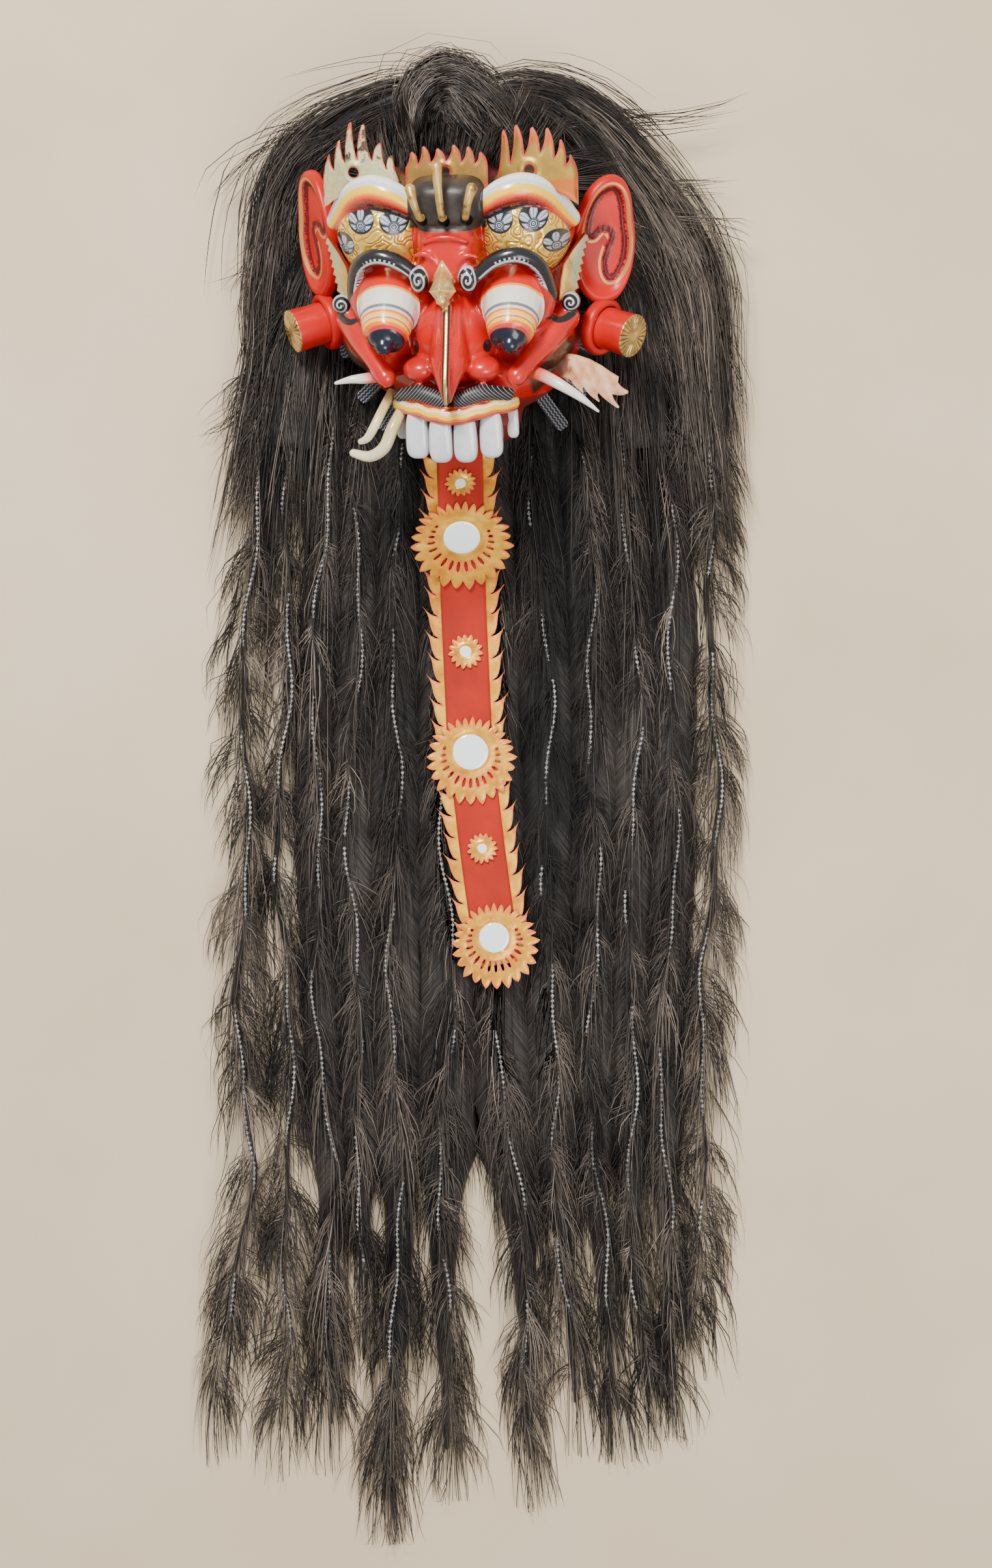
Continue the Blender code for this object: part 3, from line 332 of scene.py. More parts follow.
def closed_faces(rings, sides):
    """The walls, with both ends closed to the two middle points that follow the rings."""
    k = np.arange(sides)
    after, last, middle = (k + 1) % sides, (rings - 1) * sides, np.full(sides, rings * sides)
    ends = np.column_stack([middle, after, k, middle + 1, last + k, last + after])
    return np.vstack([wall_faces(rings, sides), ends.reshape(-1, 3)])


def turns(count):
    """Angles all the way round."""
    return np.arange(count) * 2 * np.pi / count


def smooth_path(points, steps, closed=False):
    """Points read from a smooth curve through the stations, any number of columns wide."""
    points = np.asarray(points, float)
    before, after = (points[-1:], points[:2]) if closed else (points[:1], points[-1:])
    padded = np.vstack([before, points, after])
    t = (np.arange(steps) / steps)[:, None]
    out = []
    for a, b, c, d in zip(padded, padded[1:], padded[2:], padded[3:]):
        bend, twist = 2 * a - 5 * b + 4 * c - d, 3 * b - a - 3 * c + d
        out.append(0.5 * (2 * b + (c - a) * t + bend * t**2 + twist * t**3))
    return np.vstack(out if closed else out + [points[-1:]])


def unit(vectors):
    return vectors / np.maximum(np.linalg.norm(vectors, axis=-1, keepdims=True), 1e-12)


def moved(points, matrix):
    matrix = np.array(matrix)
    return np.asarray(points, float) @ matrix[:3, :3].T + matrix[:3, 3]


def to_world(points):
    """Mask millimetres to world metres."""
    return moved(points, MASK_MM)


def run_lengths(points):
    """Length along a line of points up to each of them."""
    return np.concatenate([[0], np.cumsum(np.linalg.norm(np.diff(points, axis=0), axis=1))])


def from_path(points, path):
    """For each point: distance to the path, share along it, and the offset from the nearest place."""
    best = np.full(len(points), np.inf)
    along = np.zeros(len(points))
    offset = np.zeros_like(points)
    ahead = np.zeros_like(points)
    last = len(path) - 1
    for i in range(last):
        a, b = path[i], path[i + 1]
        step = b - a
        t = np.clip((points - a) @ step / (step @ step), 0, 1)
        gap = points - (a + t[:, None] * step)
        distance = np.linalg.norm(gap, axis=1)
        near = distance < best
        best[near] = distance[near]
        along[near] = (i + t[near]) / last
        offset[near] = gap[near]
        ahead[near] = step / np.linalg.norm(step)
    return best, along, offset, ahead


# Carving the face


def add_ball(bm, centre, radii, power=2.0, detail=4):
    made = bmesh.ops.create_icosphere(bm, subdivisions=detail, radius=1)["verts"]
    for vert in made:
        size = sum(abs(c) ** power for c in vert.co) ** (1 / power)
        vert.co = Vector([centre[i] + vert.co[i] / size * radii[i] for i in range(3)])


def add_roll(bm, stations, radii, steps=5, sides=20):
    """A smooth roll of carving through the stations, with round ends."""
    packed = smooth_path([(*p, r) for p, r in zip(stations, radii)], steps)
    points, widths = packed[:, :3], packed[:, 3]
    start = unit(points[0] - points[1]) * widths[0]
    end = unit(points[-1] - points[-2]) * widths[-1]
    reach, share = np.array([(0.98, 0.2), (0.85, 0.53), (0.6, 0.8), (0.3, 0.95)]).T
    far = reach[:, None]
    points = np.vstack([points[0] + start * far, points, points[-1] + end * far[::-1]])
    widths = np.concatenate([widths[0] * share, widths, widths[-1] * share[::-1]])
    rings = []
    for i, point in enumerate(points):
        ahead = Vector(points[min(i + 1, len(points) - 1)] - points[max(i - 1, 0)])
        across = ahead.cross(Vector((0.02, 0.3, 1))).normalized()
        over = across.cross(ahead).normalized()
        ring = []
        for angle in turns(sides):
            out = across * math.cos(angle) + over * math.sin(angle)
            ring.append(bm.verts.new(Vector(point) + out * widths[i]))
        rings.append(ring)
    for ring, after in zip(rings, rings[1:]):
        for k in range(sides):
            bm.faces.new((ring[k], ring[(k + 1) % sides], after[(k + 1) % sides], after[k]))
    bm.faces.new(rings[0][::-1])
    bm.faces.new(rings[-1])


# Rolls of carving on the right side: stations on their middle lines, and radii.
BAND = [(34, 91, 101), (50, 101, 101), (70, 105, 96), (90, 96, 84), (108, 72, 66)]
BAND_RADII = [10, 14, 15, 13, 9]
BROW = [(27, 30, 118), (45, 45, 122), (66, 49, 120), (84, 36, 109), (93, 6, 92)]
BROW_RADII = [6, 7.5, 8, 7, 4]
EYE = [
    (56.5, 12, 89), (57, 3, 100), (57, -5, 110), (57, -12, 118), (57, -18, 125), (57, -23, 131),
    (58, -26, 135), (58, -29, 139),
]
EYE_RADII = [28, 28, 26.5, 24.3, 22, 19.3, 15, 8.5]
CHEEK = [(99, -20, 64), (86, -34, 88), (71, -49, 110), (60, -62, 121)]
CHEEK_RADII = [14, 12, 9, 9.5]
MOUSTACHE = [(8, -82, 129), (28, -76, 125), (50, -81, 109)]
LIP = [(-50, -92, 97), (-32, -92, 117), (0, -97, 128), (32, -92, 117), (50, -92, 97)]
JEWEL = (-3.5, 24, 121)
WRINKLES = [
    [(8, 34, 121), (12, 45, 122.5), (21, 50, 122.5), (30, 47, 121)],
    [(-8, 40, 121), (-14, 49, 122.5), (-21, 52, 122.5), (-30, 49, 121)],
    [(-20, 62, 122), (-7, 66, 123), (7, 66, 123), (20, 62, 122)],
]
HOOK_HOLES = [(-21, 81.5), (-0.5, 80.5), (20, 81.5)]
VOXEL = 1.8

# The hollow for the wearer's face: its half axes and how far its middle lies down the face.
HOLLOW, HOLLOW_DOWN = (92, 128, 76), -8


def add_jewel(bm):
    centre = Vector(JEWEL)
    ends = [bm.verts.new(centre + Vector((0, 0, z))) for z in (27, -30)]
    corners = [(13, -6, 5), (0, 20, -2), (-13, -6, 5), (0, -22, 12)]
    waist = [bm.verts.new(centre + Vector(corner)) for corner in corners]
    for k in range(4):
        for end in ends:
            bm.faces.new((waist[k], waist[(k + 1) % 4], end))
    add_ball(bm, (JEWEL[0], 12, 139), (5, 5, 5), detail=3)


def carve_side(bm, side):
    def at(*place):
        return (side * place[0], place[1], place[2])

    add_ball(bm, at(62, 66, 50), (48, 52, 62))
    add_roll(bm, [at(*p) for p in BAND], BAND_RADII)
    add_roll(bm, [at(*p) for p in BROW], BROW_RADII)
    add_ball(bm, at(57, 5, 88), (38, 38, 28))
    add_ball(bm, at(66, -38, 58), (42, 34, 46))
    add_roll(bm, [at(*p) for p in EYE], EYE_RADII, steps=3)
    add_roll(bm, [at(*p) for p in CHEEK], CHEEK_RADII)
    add_ball(bm, at(28, -56, 114), (17, 12, 17))
    add_roll(bm, [at(*p) for p in MOUSTACHE], [7, 7, 6])
    add_ball(bm, (side * 22.5 + JEWEL[0], 27, 114), (9, 13, 11))
    add_ball(bm, at(106, -4, 70), (9, 9, 9))


def carve_blank():
    bm = bmesh.new()
    add_ball(bm, (0, 22, 8), (110, 104, 84), detail=5)
    add_ball(bm, (0, -42, 6), (107, 84, 78), detail=5)
    add_ball(bm, (0, -94, 46), (50, 40, 66))
    add_ball(bm, (0, -118, 16), (50, 38, 44))
    add_ball(bm, (0, 94, 62), (35, 25, 60), power=4)
    add_ball(bm, (0, 50, 58), (31, 34, 64), power=4)
    add_ball(bm, (0, -34, 82), (40, 46, 46))
    add_ball(bm, (0, -108, 78), (50, 12, 38), power=3)
    nose = [(0, 2, 106), (0, -20, 120), (0, -46, 131), (0, -62, 142), (0, -76, 149)]
    add_roll(bm, nose, [12, 15, 18, 11, 5])
    add_roll(bm, [(0, 4, 124), (0, -36, 143), (0, -62, 156), (0, -79, 158)], [5, 5, 5, 2.5])
    add_jewel(bm)
    for stations in WRINKLES:
        add_roll(bm, stations, [1.5, 2.6, 2.6, 1.5])
    add_roll(bm, LIP, [9, 9, 9, 9, 9])
    for side in (-1, 1):
        carve_side(bm, side)
    bmesh.ops.recalc_face_normals(bm, faces=bm.faces)
    return bm


def evaluated_arrays(obj):
    """Points and triangles of an object with its modifiers."""
    graph = bpy.context.evaluated_depsgraph_get()
    mesh = bpy.data.meshes.new_from_object(obj.evaluated_get(graph), depsgraph=graph)
    mesh.calc_loop_triangles()
    points = np.empty(len(mesh.vertices) * 3, np.float32)
    mesh.vertices.foreach_get("co", points)
    faces = np.empty(len(mesh.loop_triangles) * 3, np.int32)
    mesh.loop_triangles.foreach_get("vertices", faces)
    bpy.data.meshes.remove(mesh)
    return points.reshape(-1, 3).astype(float), faces.reshape(-1, 3)


def scratch_object(name, bm):
    mesh = bpy.data.meshes.new(name)
    bm.to_mesh(mesh)
    bm.free()
    obj = bpy.data.objects.new(name, mesh)
    bpy.context.scene.collection.objects.link(obj)
    return obj


def carve_shell():
    """The carved face in mask millimetres, as points and triangles."""
    blank = scratch_object("blank", carve_blank())
    remesh = blank.modifiers.new("one_body", "REMESH")
    remesh.mode = "VOXEL"
    remesh.voxel_size = VOXEL
    smooth = blank.modifiers.new("sanded", "SMOOTH")
    smooth.factor = 0.5
    smooth.iterations = 2
    hollow, rim, mouth = bmesh.new(), bmesh.new(), bmesh.new()
    add_ball(hollow, (0, HOLLOW_DOWN, 0), HOLLOW, detail=5)
    bmesh.ops.create_cube(rim, size=560)
    bmesh.ops.translate(rim, vec=(0, 0, -280), verts=rim.verts)
    add_ball(mouth, (0, -134, 92), (40, 15, 46))
    for x, y in HOOK_HOLES:
        place = Matrix.Translation((x, y, 126))
        bmesh.ops.create_cone(
            mouth, cap_ends=True, segments=20, radius1=5.2, radius2=5.6, depth=26, matrix=place
        )
    cutters = []
    for name, bm in (("hollow", hollow), ("rim", rim), ("mouth", mouth)):
        cutters.append(scratch_object(name, bm))
        cut = blank.modifiers.new(name, "BOOLEAN")
        cut.object = cutters[-1]
        cut.solver = "EXACT"
    arrays = evaluated_arrays(blank)
    for obj in cutters + [blank]:
        bpy.data.objects.remove(obj)
    return arrays


# Painted lines on the right side, each through stations on its surface, with its half width.
LINES = [
    ([(26, 8, 118), (22, -14, 118), (21, -38, 124), (18, -58, 132), (10, -76, 145)], 0.5),
    ([(31, 14, 110), (30, -10, 104), (31, -30, 106), (36, -48, 110)], 0.8),
    ([(84, 12, 100), (88, -8, 98), (84, -28, 96), (74, -44, 104), (66, -54, 112)], 0.5),
    ([(24, -67, 122), (34, -68, 116), (44, -66, 108)], 1.0),
    ([(96, -34, 62), (92, -50, 62), (84, -62, 66), (76, -72, 70)], 1.2),
]
# The slit under each eye, painted black as painted shade in the opening there.
SLIT = [(32, -36, 108), (40, -40, 108), (46, -41, 108)]
TAIL = [(110, -12, 0), (103, -17, 0), (95, -18, 0), (87, -14, 0)]
# Spirals, as middle x and y, half sizes and the lowest z that they reach. Roundels, as place and radius.
CURLS = [(-26, 27, 9, 13, 102), (19, 27, 9, 13, 102), (-106, -4, 9, 9, 43), (106, -4, 9, 9, 43)]
ROUNDELS = [(48, 79.5, 13), (79, 80.5, 13), (97, 56, 11)]


def roll_angle(points, stations):
    """Distance to a roll's middle, share along it, and the angle round it: 0 outward, 90 towards +z."""
    distance, along, offset, ahead = from_path(points, smooth_path(stations, 5))
    out = unit(np.cross([0.0, 0.0, 1.0], ahead))
    over = unit(np.cross(ahead, out))
    over *= np.sign(over[:, 2:3])
    angle = np.degrees(np.arctan2((offset * over).sum(1), (offset * out).sum(1)))
    return distance, along, np.where(angle < -90, angle + 360, angle)


def roll_gap(points, stations, radii):
    """How far each point lies outside a roll of the given radii."""
    packed = smooth_path([(*p, r) for p, r in zip(stations, radii)], 3)
    distance, along, _, _ = from_path(points, packed[:, :3])
    return distance - np.interp(along, np.linspace(0, 1, len(packed)), packed[:, 3])


def face_fields(points):
    """Smooth fields over the carved face, which its paint follows."""
    x, y, z = points.T
    mirrored = np.column_stack([abs(x), y, z])

    def away(stations):
        return from_path(mirrored, smooth_path(stations, 5))[0]

    rolls = {
        "band": (BAND, BAND_RADII), "brow": (BROW, BROW_RADII), "eye_gap": (EYE, EYE_RADII),
        "cheek_gap": (CHEEK, CHEEK_RADII),
    }
    fields = {name: roll_gap(mirrored, *roll) for name, roll in rolls.items()}
    _, _, fields["band_angle"] = roll_angle(mirrored, BAND)
    _, fields["brow_along"], fields["brow_angle"] = roll_angle(mirrored, BROW)
    fields["lip"], _, fields["lip_angle"] = roll_angle(points, LIP)
    base, tip = np.array(EYE[0], float), np.array(EYE[-1], float)
    fields["eye_reach"] = (mirrored - base) @ unit(tip - base)
    fields["moustache"], fields["slit"] = away(MOUSTACHE), away(SLIT)
    fields["lines"] = np.min([away(stations) * 0.5 / half for stations, half in LINES], axis=0)
    gap, along = from_path(mirrored * [1, 1, 0], smooth_path(TAIL, 5))[:2]
    fields["tail"] = np.where(z > 40, gap + along * 2.4, 9)
    beside = (abs(x) - 99) * 0.733 - (y + 20) * 0.681
    fields["jaw"] = np.min([beside, 9 - (y + 26) * 0.7, abs(x) - 52, z * 0.8 - 22, (y + 110) * 0.8], axis=0)
    for k, (cx, cy, half_x, half_y, low) in enumerate(CURLS):
        fields[f"curl_{k}"] = np.where(z > low, np.hypot((x - cx) / half_x, (y - cy) / half_y), 9)
    waist = JEWEL[1] - 6
    jewel = abs(x - JEWEL[0]) / 13 + np.where(y > waist, (y - waist) / 26, (waist - y) / 17)
    fields["jewel"] = np.where(z > 116, jewel, 9)
    hollow = np.linalg.norm((points - [0, HOLLOW_DOWN, 0]) / HOLLOW, axis=1)
    fields["inside"] = np.minimum(np.where(z < 76, (hollow - 1) * 80, 50), z)
    return fields


class FacePaint:
    """The painted face, laid on in layers by its fields and by places in mask millimetres."""

    def __init__(self):
        self.graph = graph = Graph("painted_face")
        graph.use_mask_frame()
        self.x, self.y, self.z = graph.split(graph.place())
        self.wide = abs(self.x)
        self.bowed = (self.wide - 62.0).math("POWER", 2.0)
        self.colour = graph.clouds(0.035, 4, 0.3, 0.7, *RED_SHADES)
        self.metal, self.rough, self.relief = 0.0, 0.27, 0.0

    def layer(self, mask, paint, metal=0.0, rough=0.27, relief=0.0):
        self.colour = self.graph.mix(mask, self.colour, paint)
        self.metal = self.graph.blend(mask, self.metal, metal)
        self.rough = self.graph.blend(mask, self.rough, rough)
        self.relief = self.graph.blend(mask, self.relief, relief)

    def field(self, name):
        return self.graph.attribute(name)

    def away(self, a, b, cx, cy):
        """The two offsets from a place, and the distance to it."""
        u, v = a - float(cx), b - float(cy)
        return u, v, (u.math("POWER", 2.0) + v.math("POWER", 2.0)).math("SQRT")

    def shade(self):
        """Black hatching painted on the jaw, painted shade on the chin below the lip and round the eyes'
        bases on the cheeks, the black tails on the cheeks, the drawn lines, and painted shade in the slits
        under the eyes.
        """
        hatch = self.graph.noise(0.9, 2).below(0.55, 0.05)
        jaw = self.field("jaw").above(11.5, 2.0) * 0.94 * self.field("cheek_gap").above(1.2, 0.6)
        self.layer(jaw, self.graph.mix(hatch, (0.075, 0.035, 0.010), (0.010, 0.007, 0.007)))
        # Painted shade on the chin, below the lip.
        self.layer(self.y.below(-99, 1.5) * 0.85, (0.11, 0.008, 0.006), rough=0.6)
        self.layer(self.field("tail").below(3.8, 0.3), BLACK)
        # Painted shade in the crease round each eye's base.
        under_eye = self.field("eye_gap").below(3.2, 2.0) * self.field("eye_gap").above(0.6, 0.5)
        self.layer(under_eye * 0.55, DARK_RED)
        self.layer(self.field("lines").below(0.55, 0.25) * 0.9, DEEP_RED)
        # Painted shade: black in the slit under each eye.
        self.layer(self.field("slit").below(5.6, 0.8), BLACK)

    def panels(self):
        """Embossed gold leaf between the brow and the upper band, with half flowers in roundels."""
        panel = self.wide.below(107, 1.5) * self.wide.above(33, 0.4)
        panel = panel * self.y.above(14, 0.8) * self.z.above(62, 1.0)
        arch = self.bowed * 0.026 + self.y
        panel = panel * arch.above(47, 0.6) * arch.below(126, 1.0)
        self.scroll = (self.graph.noise(0.055, 1.0) * 26.0).ripple()
        # The gold follows the embossing: darker in its hollows, as painted shade.
        stops = [(0.05, (0.50, 0.25, 0.025)), (0.25, (0.82, 0.48, 0.06)), (0.8, (0.95, 0.62, 0.12))]
        self.layer(panel, self.graph.ramp(self.scroll, stops), 0.55, 0.22, 1.0)
        for roundel in ROUNDELS:
            self.roundel(panel, *roundel)

    def roundel(self, panel, cx, cy, radius):
        graph = self.graph
        disc = self.away(self.wide, self.y, cx, cy)[2].below(radius, 0.3) * panel
        rim = self.away(self.wide, self.y, cx, cy + 1.5)[2]
        u, v, away = self.away(self.wide, self.y, cx, cy - radius * 0.42)
        turn = u.math("ARCTAN2", v)
        petal = abs((turn * 3.4).math("COSINE"))
        reach = petal * (radius * 0.55) + radius * 0.62
        inner = (away - reach).below(0.0, 0.4) * away.above(radius * 0.40, 0.3)
        inner = inner * rim.below(radius * 0.93, 0.3) * petal.above(0.34, 0.12)
        flower = graph.mix((turn * 10.2).ripple() * 0.8, (0.12, 0.14, 0.19), (0.56, 0.60, 0.68))
        middle = graph.mix((away * 1.7).ripple().above(0.7, 0.15), BLACK, (0.34, 0.38, 0.46))
        painted = graph.mix(inner, BLACK, flower)
        self.layer(disc, graph.mix(away.below(radius * 0.34, 0.3), painted, middle))

    def band(self):
        """White and pale blue outside, then yellow, orange, dark red hatching and a black line."""
        angle = self.field("band_angle")
        strokes = (self.graph.noise(1.1, 2) - 0.5) * 70.0 + angle
        painted = self.graph.ramp(
            angle,
            [
                (-60, WHITE), (34, WHITE), (48, (0.56, 0.61, 0.70)), (58, (0.60, 0.64, 0.70)), (62, YELLOW),
                (84, YELLOW), (95, ORANGE), (110, (0.62, 0.030, 0.008)), (170, (0.46, 0.012, 0.006)),
            ],
            -60, 180,
        )
        painted = self.graph.mix(strokes.above(118, 9) * 0.9, painted, DEEP_RED)
        painted = self.graph.mix(angle.above(148, 2), painted, BLACK)
        self.layer(self.field("band").below(2.6) * self.y.above(59, 0.6) * angle.below(205, 2), painted)

    def brow(self):
        """Black with a white line along its lower side, ticks over the middle and a comb at its end."""
        turn, along = self.field("brow_angle"), self.field("brow_along")
        line = turn.near(120.0, 9, 3) * along.above(0.03, 0.01)
        tick = (along * 66.0).ripple().above(0.80, 0.06)
        tick = tick * along.near(0.42, 0.17, 0.01) * turn.near(102.0, 8, 3)
        comb = (along * 150.0).ripple().above(0.6, 0.1) * along.above(0.66, 0.02) * turn.above(118, 3)
        marks = self.graph.largest(line, tick, comb)
        paint = self.graph.mix(marks, BLACK, (0.50, 0.53, 0.57))
        self.layer(self.field("brow").below(1.2) * self.z.above(78, 1), paint)

    def cap(self):
        """Dark brown behind the crown plates, and the black forehead cap with its three holes, painted near
        black inside as painted shade.
        """
        # Dark brown where the crown plates cover the face.
        behind = (self.bowed * 0.012 + self.y).above(104, 1.5) * self.field("band").above(1.2, 0.6)
        self.layer(behind * self.z.below(100, 2) * 0.9, (0.045, 0.014, 0.009), rough=0.7)
        cap = self.wide.below(34.5) * self.y.above(71, 0.5) * self.z.above(60, 1)
        paint = self.graph.clouds(0.06, 4, 0.35, 0.7, (0.014, 0.011, 0.009), (0.045, 0.036, 0.028))
        self.layer(cap, paint, rough=0.45)
        # Painted shade: the three hook holes near black inside.
        for cx, cy in HOOK_HOLES:
            hole = self.away(self.x, self.y, cx, cy)[2].below(5.9)
            self.layer(cap * hole, (0.002, 0.002, 0.002), rough=0.8)

    def eyes(self):
        """Bands round the eyes' axis, from the hood to the black tip."""
        reach = self.field("eye_reach")
        stops = [
            (15.5, (0.66, 0.022, 0.011)), (18.0, (0.85, 0.32, 0.03)), (35.0, CREAM), (38.0, GREY),
            (40.5, (0.70, 0.62, 0.66)), (42.5, ORANGE), (45.5, YELLOW), (47.0, (0.80, 0.60, 0.56)),
            (48.5, (0.78, 0.10, 0.012)), (51.5, YELLOW), (54.5, ORANGE), (57.5, (0.62, 0.02, 0.01)),
            (90, (0.004, 0.007, 0.018)),
        ]
        mask = self.field("eye_gap").below(1.6) * reach.above(4, 0.4)
        self.layer(mask, self.graph.ramp(reach, bands(stops, 0.30), 0, 90))

    def mouth(self):
        hairs = ((self.y * 0.9 + self.wide) * 0.95).ripple()
        whisker = self.graph.mix(hairs.below(0.28, 0.12), BLACK, (0.26, 0.27, 0.28))
        self.layer(self.field("moustache").below(8.3) * self.y.below(-68, 0.5), whisker, rough=0.5)
        wave = (self.x * 0.36).math("SINE") * 5.0
        stops = [
            (20, DARK_RED), (28, (0.50, 0.34, 0.07)), (50, (0.52, 0.022, 0.010)), (60, YELLOW),
            (74, (0.74, 0.66, 0.74)), (104, YELLOW), (124, ORANGE), (144, (0.66, 0.03, 0.01)),
            (200, DARK_RED),
        ]
        stripes = self.graph.ramp(self.field("lip_angle") + wave, bands(stops, 2.0), -60, 220)
        self.layer(self.field("lip").below(10.6) * self.wide.below(62, 0.5), stripes)

    def nose(self):
        """A gold line edged with black down the ridge, with short strokes beside it."""
        ridge = self.y.below(6, 1.0) * self.y.above(-88, 1.0) * self.z.above(124, 2.0)
        strokes = self.wide.below(7.5, 1.5) * self.graph.noise(0.8, 2).above(0.58, 0.04)
        self.layer(ridge * strokes * 0.6, DEEP_RED)
        self.layer(ridge * self.wide.below(3.0, 0.5), (0.02, 0.008, 0.006))
        self.layer(ridge * self.wide.below(1.35), GOLD, 0.9)

    def curls(self):
        """The gilded jewel, and the spirals beside it and on the temples."""
        leaf = self.graph.clouds(0.09, 3, 0.35, 0.65, (0.62, 0.44, 0.13), (0.90, 0.66, 0.25))
        self.layer(self.field("jewel").below(1.12, 0.03), leaf, 0.6, 0.28)
        for k, (cx, cy, half_x, half_y, _) in enumerate(CURLS):
            reach = self.field(f"curl_{k}")
            u, v, _ = self.away(self.x, self.y, cx, cy)
            turn = (v * (half_x / half_y)).math("ARCTAN2", u * (1.0 if cx < 0 else -1.0))
            coil = (reach * 13.5 + turn).math("SINE").above(0.35, 0.35)
            self.layer(reach.below(1.0, 0.04), self.graph.mix(coil, BLACK, (0.42, 0.46, 0.50)))

    def bare_back(self):
        wood = self.graph.clouds(0.12, 5, 0.3, 0.7, (0.24, 0.13, 0.06), (0.36, 0.21, 0.10))
        self.layer(self.field("inside").below(0.8, 0.4), wood, rough=0.8)

    def material(self):
        graph = self.graph
        for paint in (self.shade, self.panels, self.band, self.brow, self.cap, self.eyes, self.mouth):
            paint()
        self.nose()
        self.curls()
        self.bare_back()
        normal = graph.bump(self.relief * self.scroll, 0.8, 0.0012)
        normal = graph.bump(graph.noise(0.11, 2), 0.35, 0.0003, normal)
        coat = self.rough.below(0.33, 0.05) * 0.4
        looks = {"colour": self.colour, "metal": self.metal, "rough": self.rough, "normal": normal}
        return graph.finish(**looks, coat=coat, coat_rough=0.10)


def make_face():
    points, faces = carve_shell()
    fields = face_fields(points)
    face = array_mesh("face_carving", to_world(points), faces, FacePaint().material(), fields)
    finish_piece(face, "carved_face", ["mask_shell"])


# Cut sheets: leather and rosettes


def loop_distance(points, loops):
    """Distance from each flat point to the nearest edge of the loops, and whether it is inside."""
    nearest = np.full(len(points), np.inf)
    inside = np.zeros(len(points), bool)
    for loop in loops:
        loop = np.asarray(loop, float)
        for a, b in zip(loop, np.roll(loop, -1, axis=0)):
            step = b - a
            t = np.clip((points - a) @ step / max(step @ step, 1e-12), 0, 1)
            nearest = np.minimum(nearest, np.linalg.norm(points - a - t[:, None] * step, axis=1))
            crosses = (a[1] > points[:, 1]) != (b[1] > points[:, 1])
            if crosses.any():
                at = a[0] + (points[:, 1] - a[1]) / (b[1] - a[1]) * step[0]
                inside ^= crosses & (points[:, 0] < at)
    return nearest, inside


def cut_sheet(loops, place, thickness, spacing, relief=None):
    """A sheet cut to loops, the outline and its holes, as points, triangles and flat fields.

    place takes flat x and y and a height above the sheet's middle, all as arrays."""
    low, high = np.min(loops[0], axis=0), np.max(loops[0], axis=0)
    columns = [np.arange(a, b, spacing) for a, b in zip(low, high)]
    grid = np.stack(np.meshgrid(*columns), axis=-1).reshape(-1, 2)
    grid[:, 0] += (np.round((grid[:, 1] - low[1]) / spacing) % 2) * spacing / 2
    away, inside = loop_distance(grid, loops)
    grid = grid[inside & (away > spacing * 0.45)]
    edges, start = [], 0
    for loop in loops:
        edges += [(start + k, start + (k + 1) % len(loop)) for k in range(len(loop))]
        start += len(loop)
    flat = [Vector(p) for p in np.vstack([*loops, grid]).tolist()]
    points, _, faces, *_ = geometry.delaunay_2d_cdt(flat, edges, [], 0, 1e-5)
    points = np.array([(p.x, p.y) for p in points])
    faces = np.array([f for f in faces if len(f) == 3])
    faces = faces[loop_distance(points[faces].mean(axis=1), loops)[1]]
    edge = loop_distance(points, loops)[0]
    count = len(points)
    raised = 0.0 if relief is None else relief(points, edge)
    top = place(*points.T, np.full(count, thickness / 2) + raised)
    bottom = place(*points.T, np.full(count, -thickness / 2))
    directed = {tuple(pair) for pair in np.vstack([faces[:, [0, 1]], faces[:, [1, 2]], faces[:, [2, 0]]])}
    first, second = np.array([(a, b) for a, b in directed if (b, a) not in directed]).T
    sides = [
        np.column_stack([second, first, first + count]),
        np.column_stack([second, first + count, second + count]),
    ]
    fields = {"edge": edge, "flat_x": points[:, 0], "flat_y": points[:, 1]}
    fields = {key: np.tile(values, 2) for key, values in fields.items()}
    fields["front"] = np.repeat([1.0, 0.0], count)
    return np.vstack([top, bottom]), np.vstack([faces, faces[:, ::-1] + count, *sides]), fields


def sheet_piece(name, sheets, material, slot, replaced):
    """One piece from one or more cut sheets."""
    starts = np.cumsum([0] + [len(sheet[0]) for sheet in sheets])
    points = np.vstack([sheet[0] for sheet in sheets])
    faces = np.vstack([sheet[1] + start for sheet, start in zip(sheets, starts)])
    fields = {key: np.concatenate([sheet[2][key] for sheet in sheets]) for key in sheets[0][2]}
    obj = array_mesh(name, points, faces, material, fields)
    obj.data.set_sharp_from_angle(angle=math.radians(50))
    return finish_piece(obj, slot, replaced)


def curve(a, control, b, steps=4):
    """Points from a up to but without b along a simple bend."""
    a, control, b = (np.asarray(p, float) for p in (a, control, b))
    t = np.arange(steps)[:, None] / steps
    return (1 - t) ** 2 * a + 2 * t * (1 - t) * control + t**2 * b


def flames(valleys, tips, lean=1.0, belly=0.62, blunt=1.5):
    """The line of a row of flames from its first valley to its last. Each leans to one side."""
    valleys = np.asarray(valleys, float)
    out = []
    for a, tip, b in zip(valleys, np.asarray(tips, float), valleys[1:]):
        rise, wide = tip - (a + b) / 2, b - a
        shoulder, drop = unit(wide) * blunt, unit(rise) * blunt
        before, after = tip - shoulder - drop, tip + shoulder - drop
        full, hollow = rise * belly, rise * 0.32 + wide * 0.34 * np.sign(lean)
        up = a + (hollow if lean > 0 else full + wide * 0.02)
        down = b + (full - wide * 0.02 if lean > 0 else hollow)
        out += [curve(a, up, before), curve(before, tip + drop * 0.4, after, 3), curve(after, down, b)]
    out.append(valleys[-1:])
    return np.vstack(out)


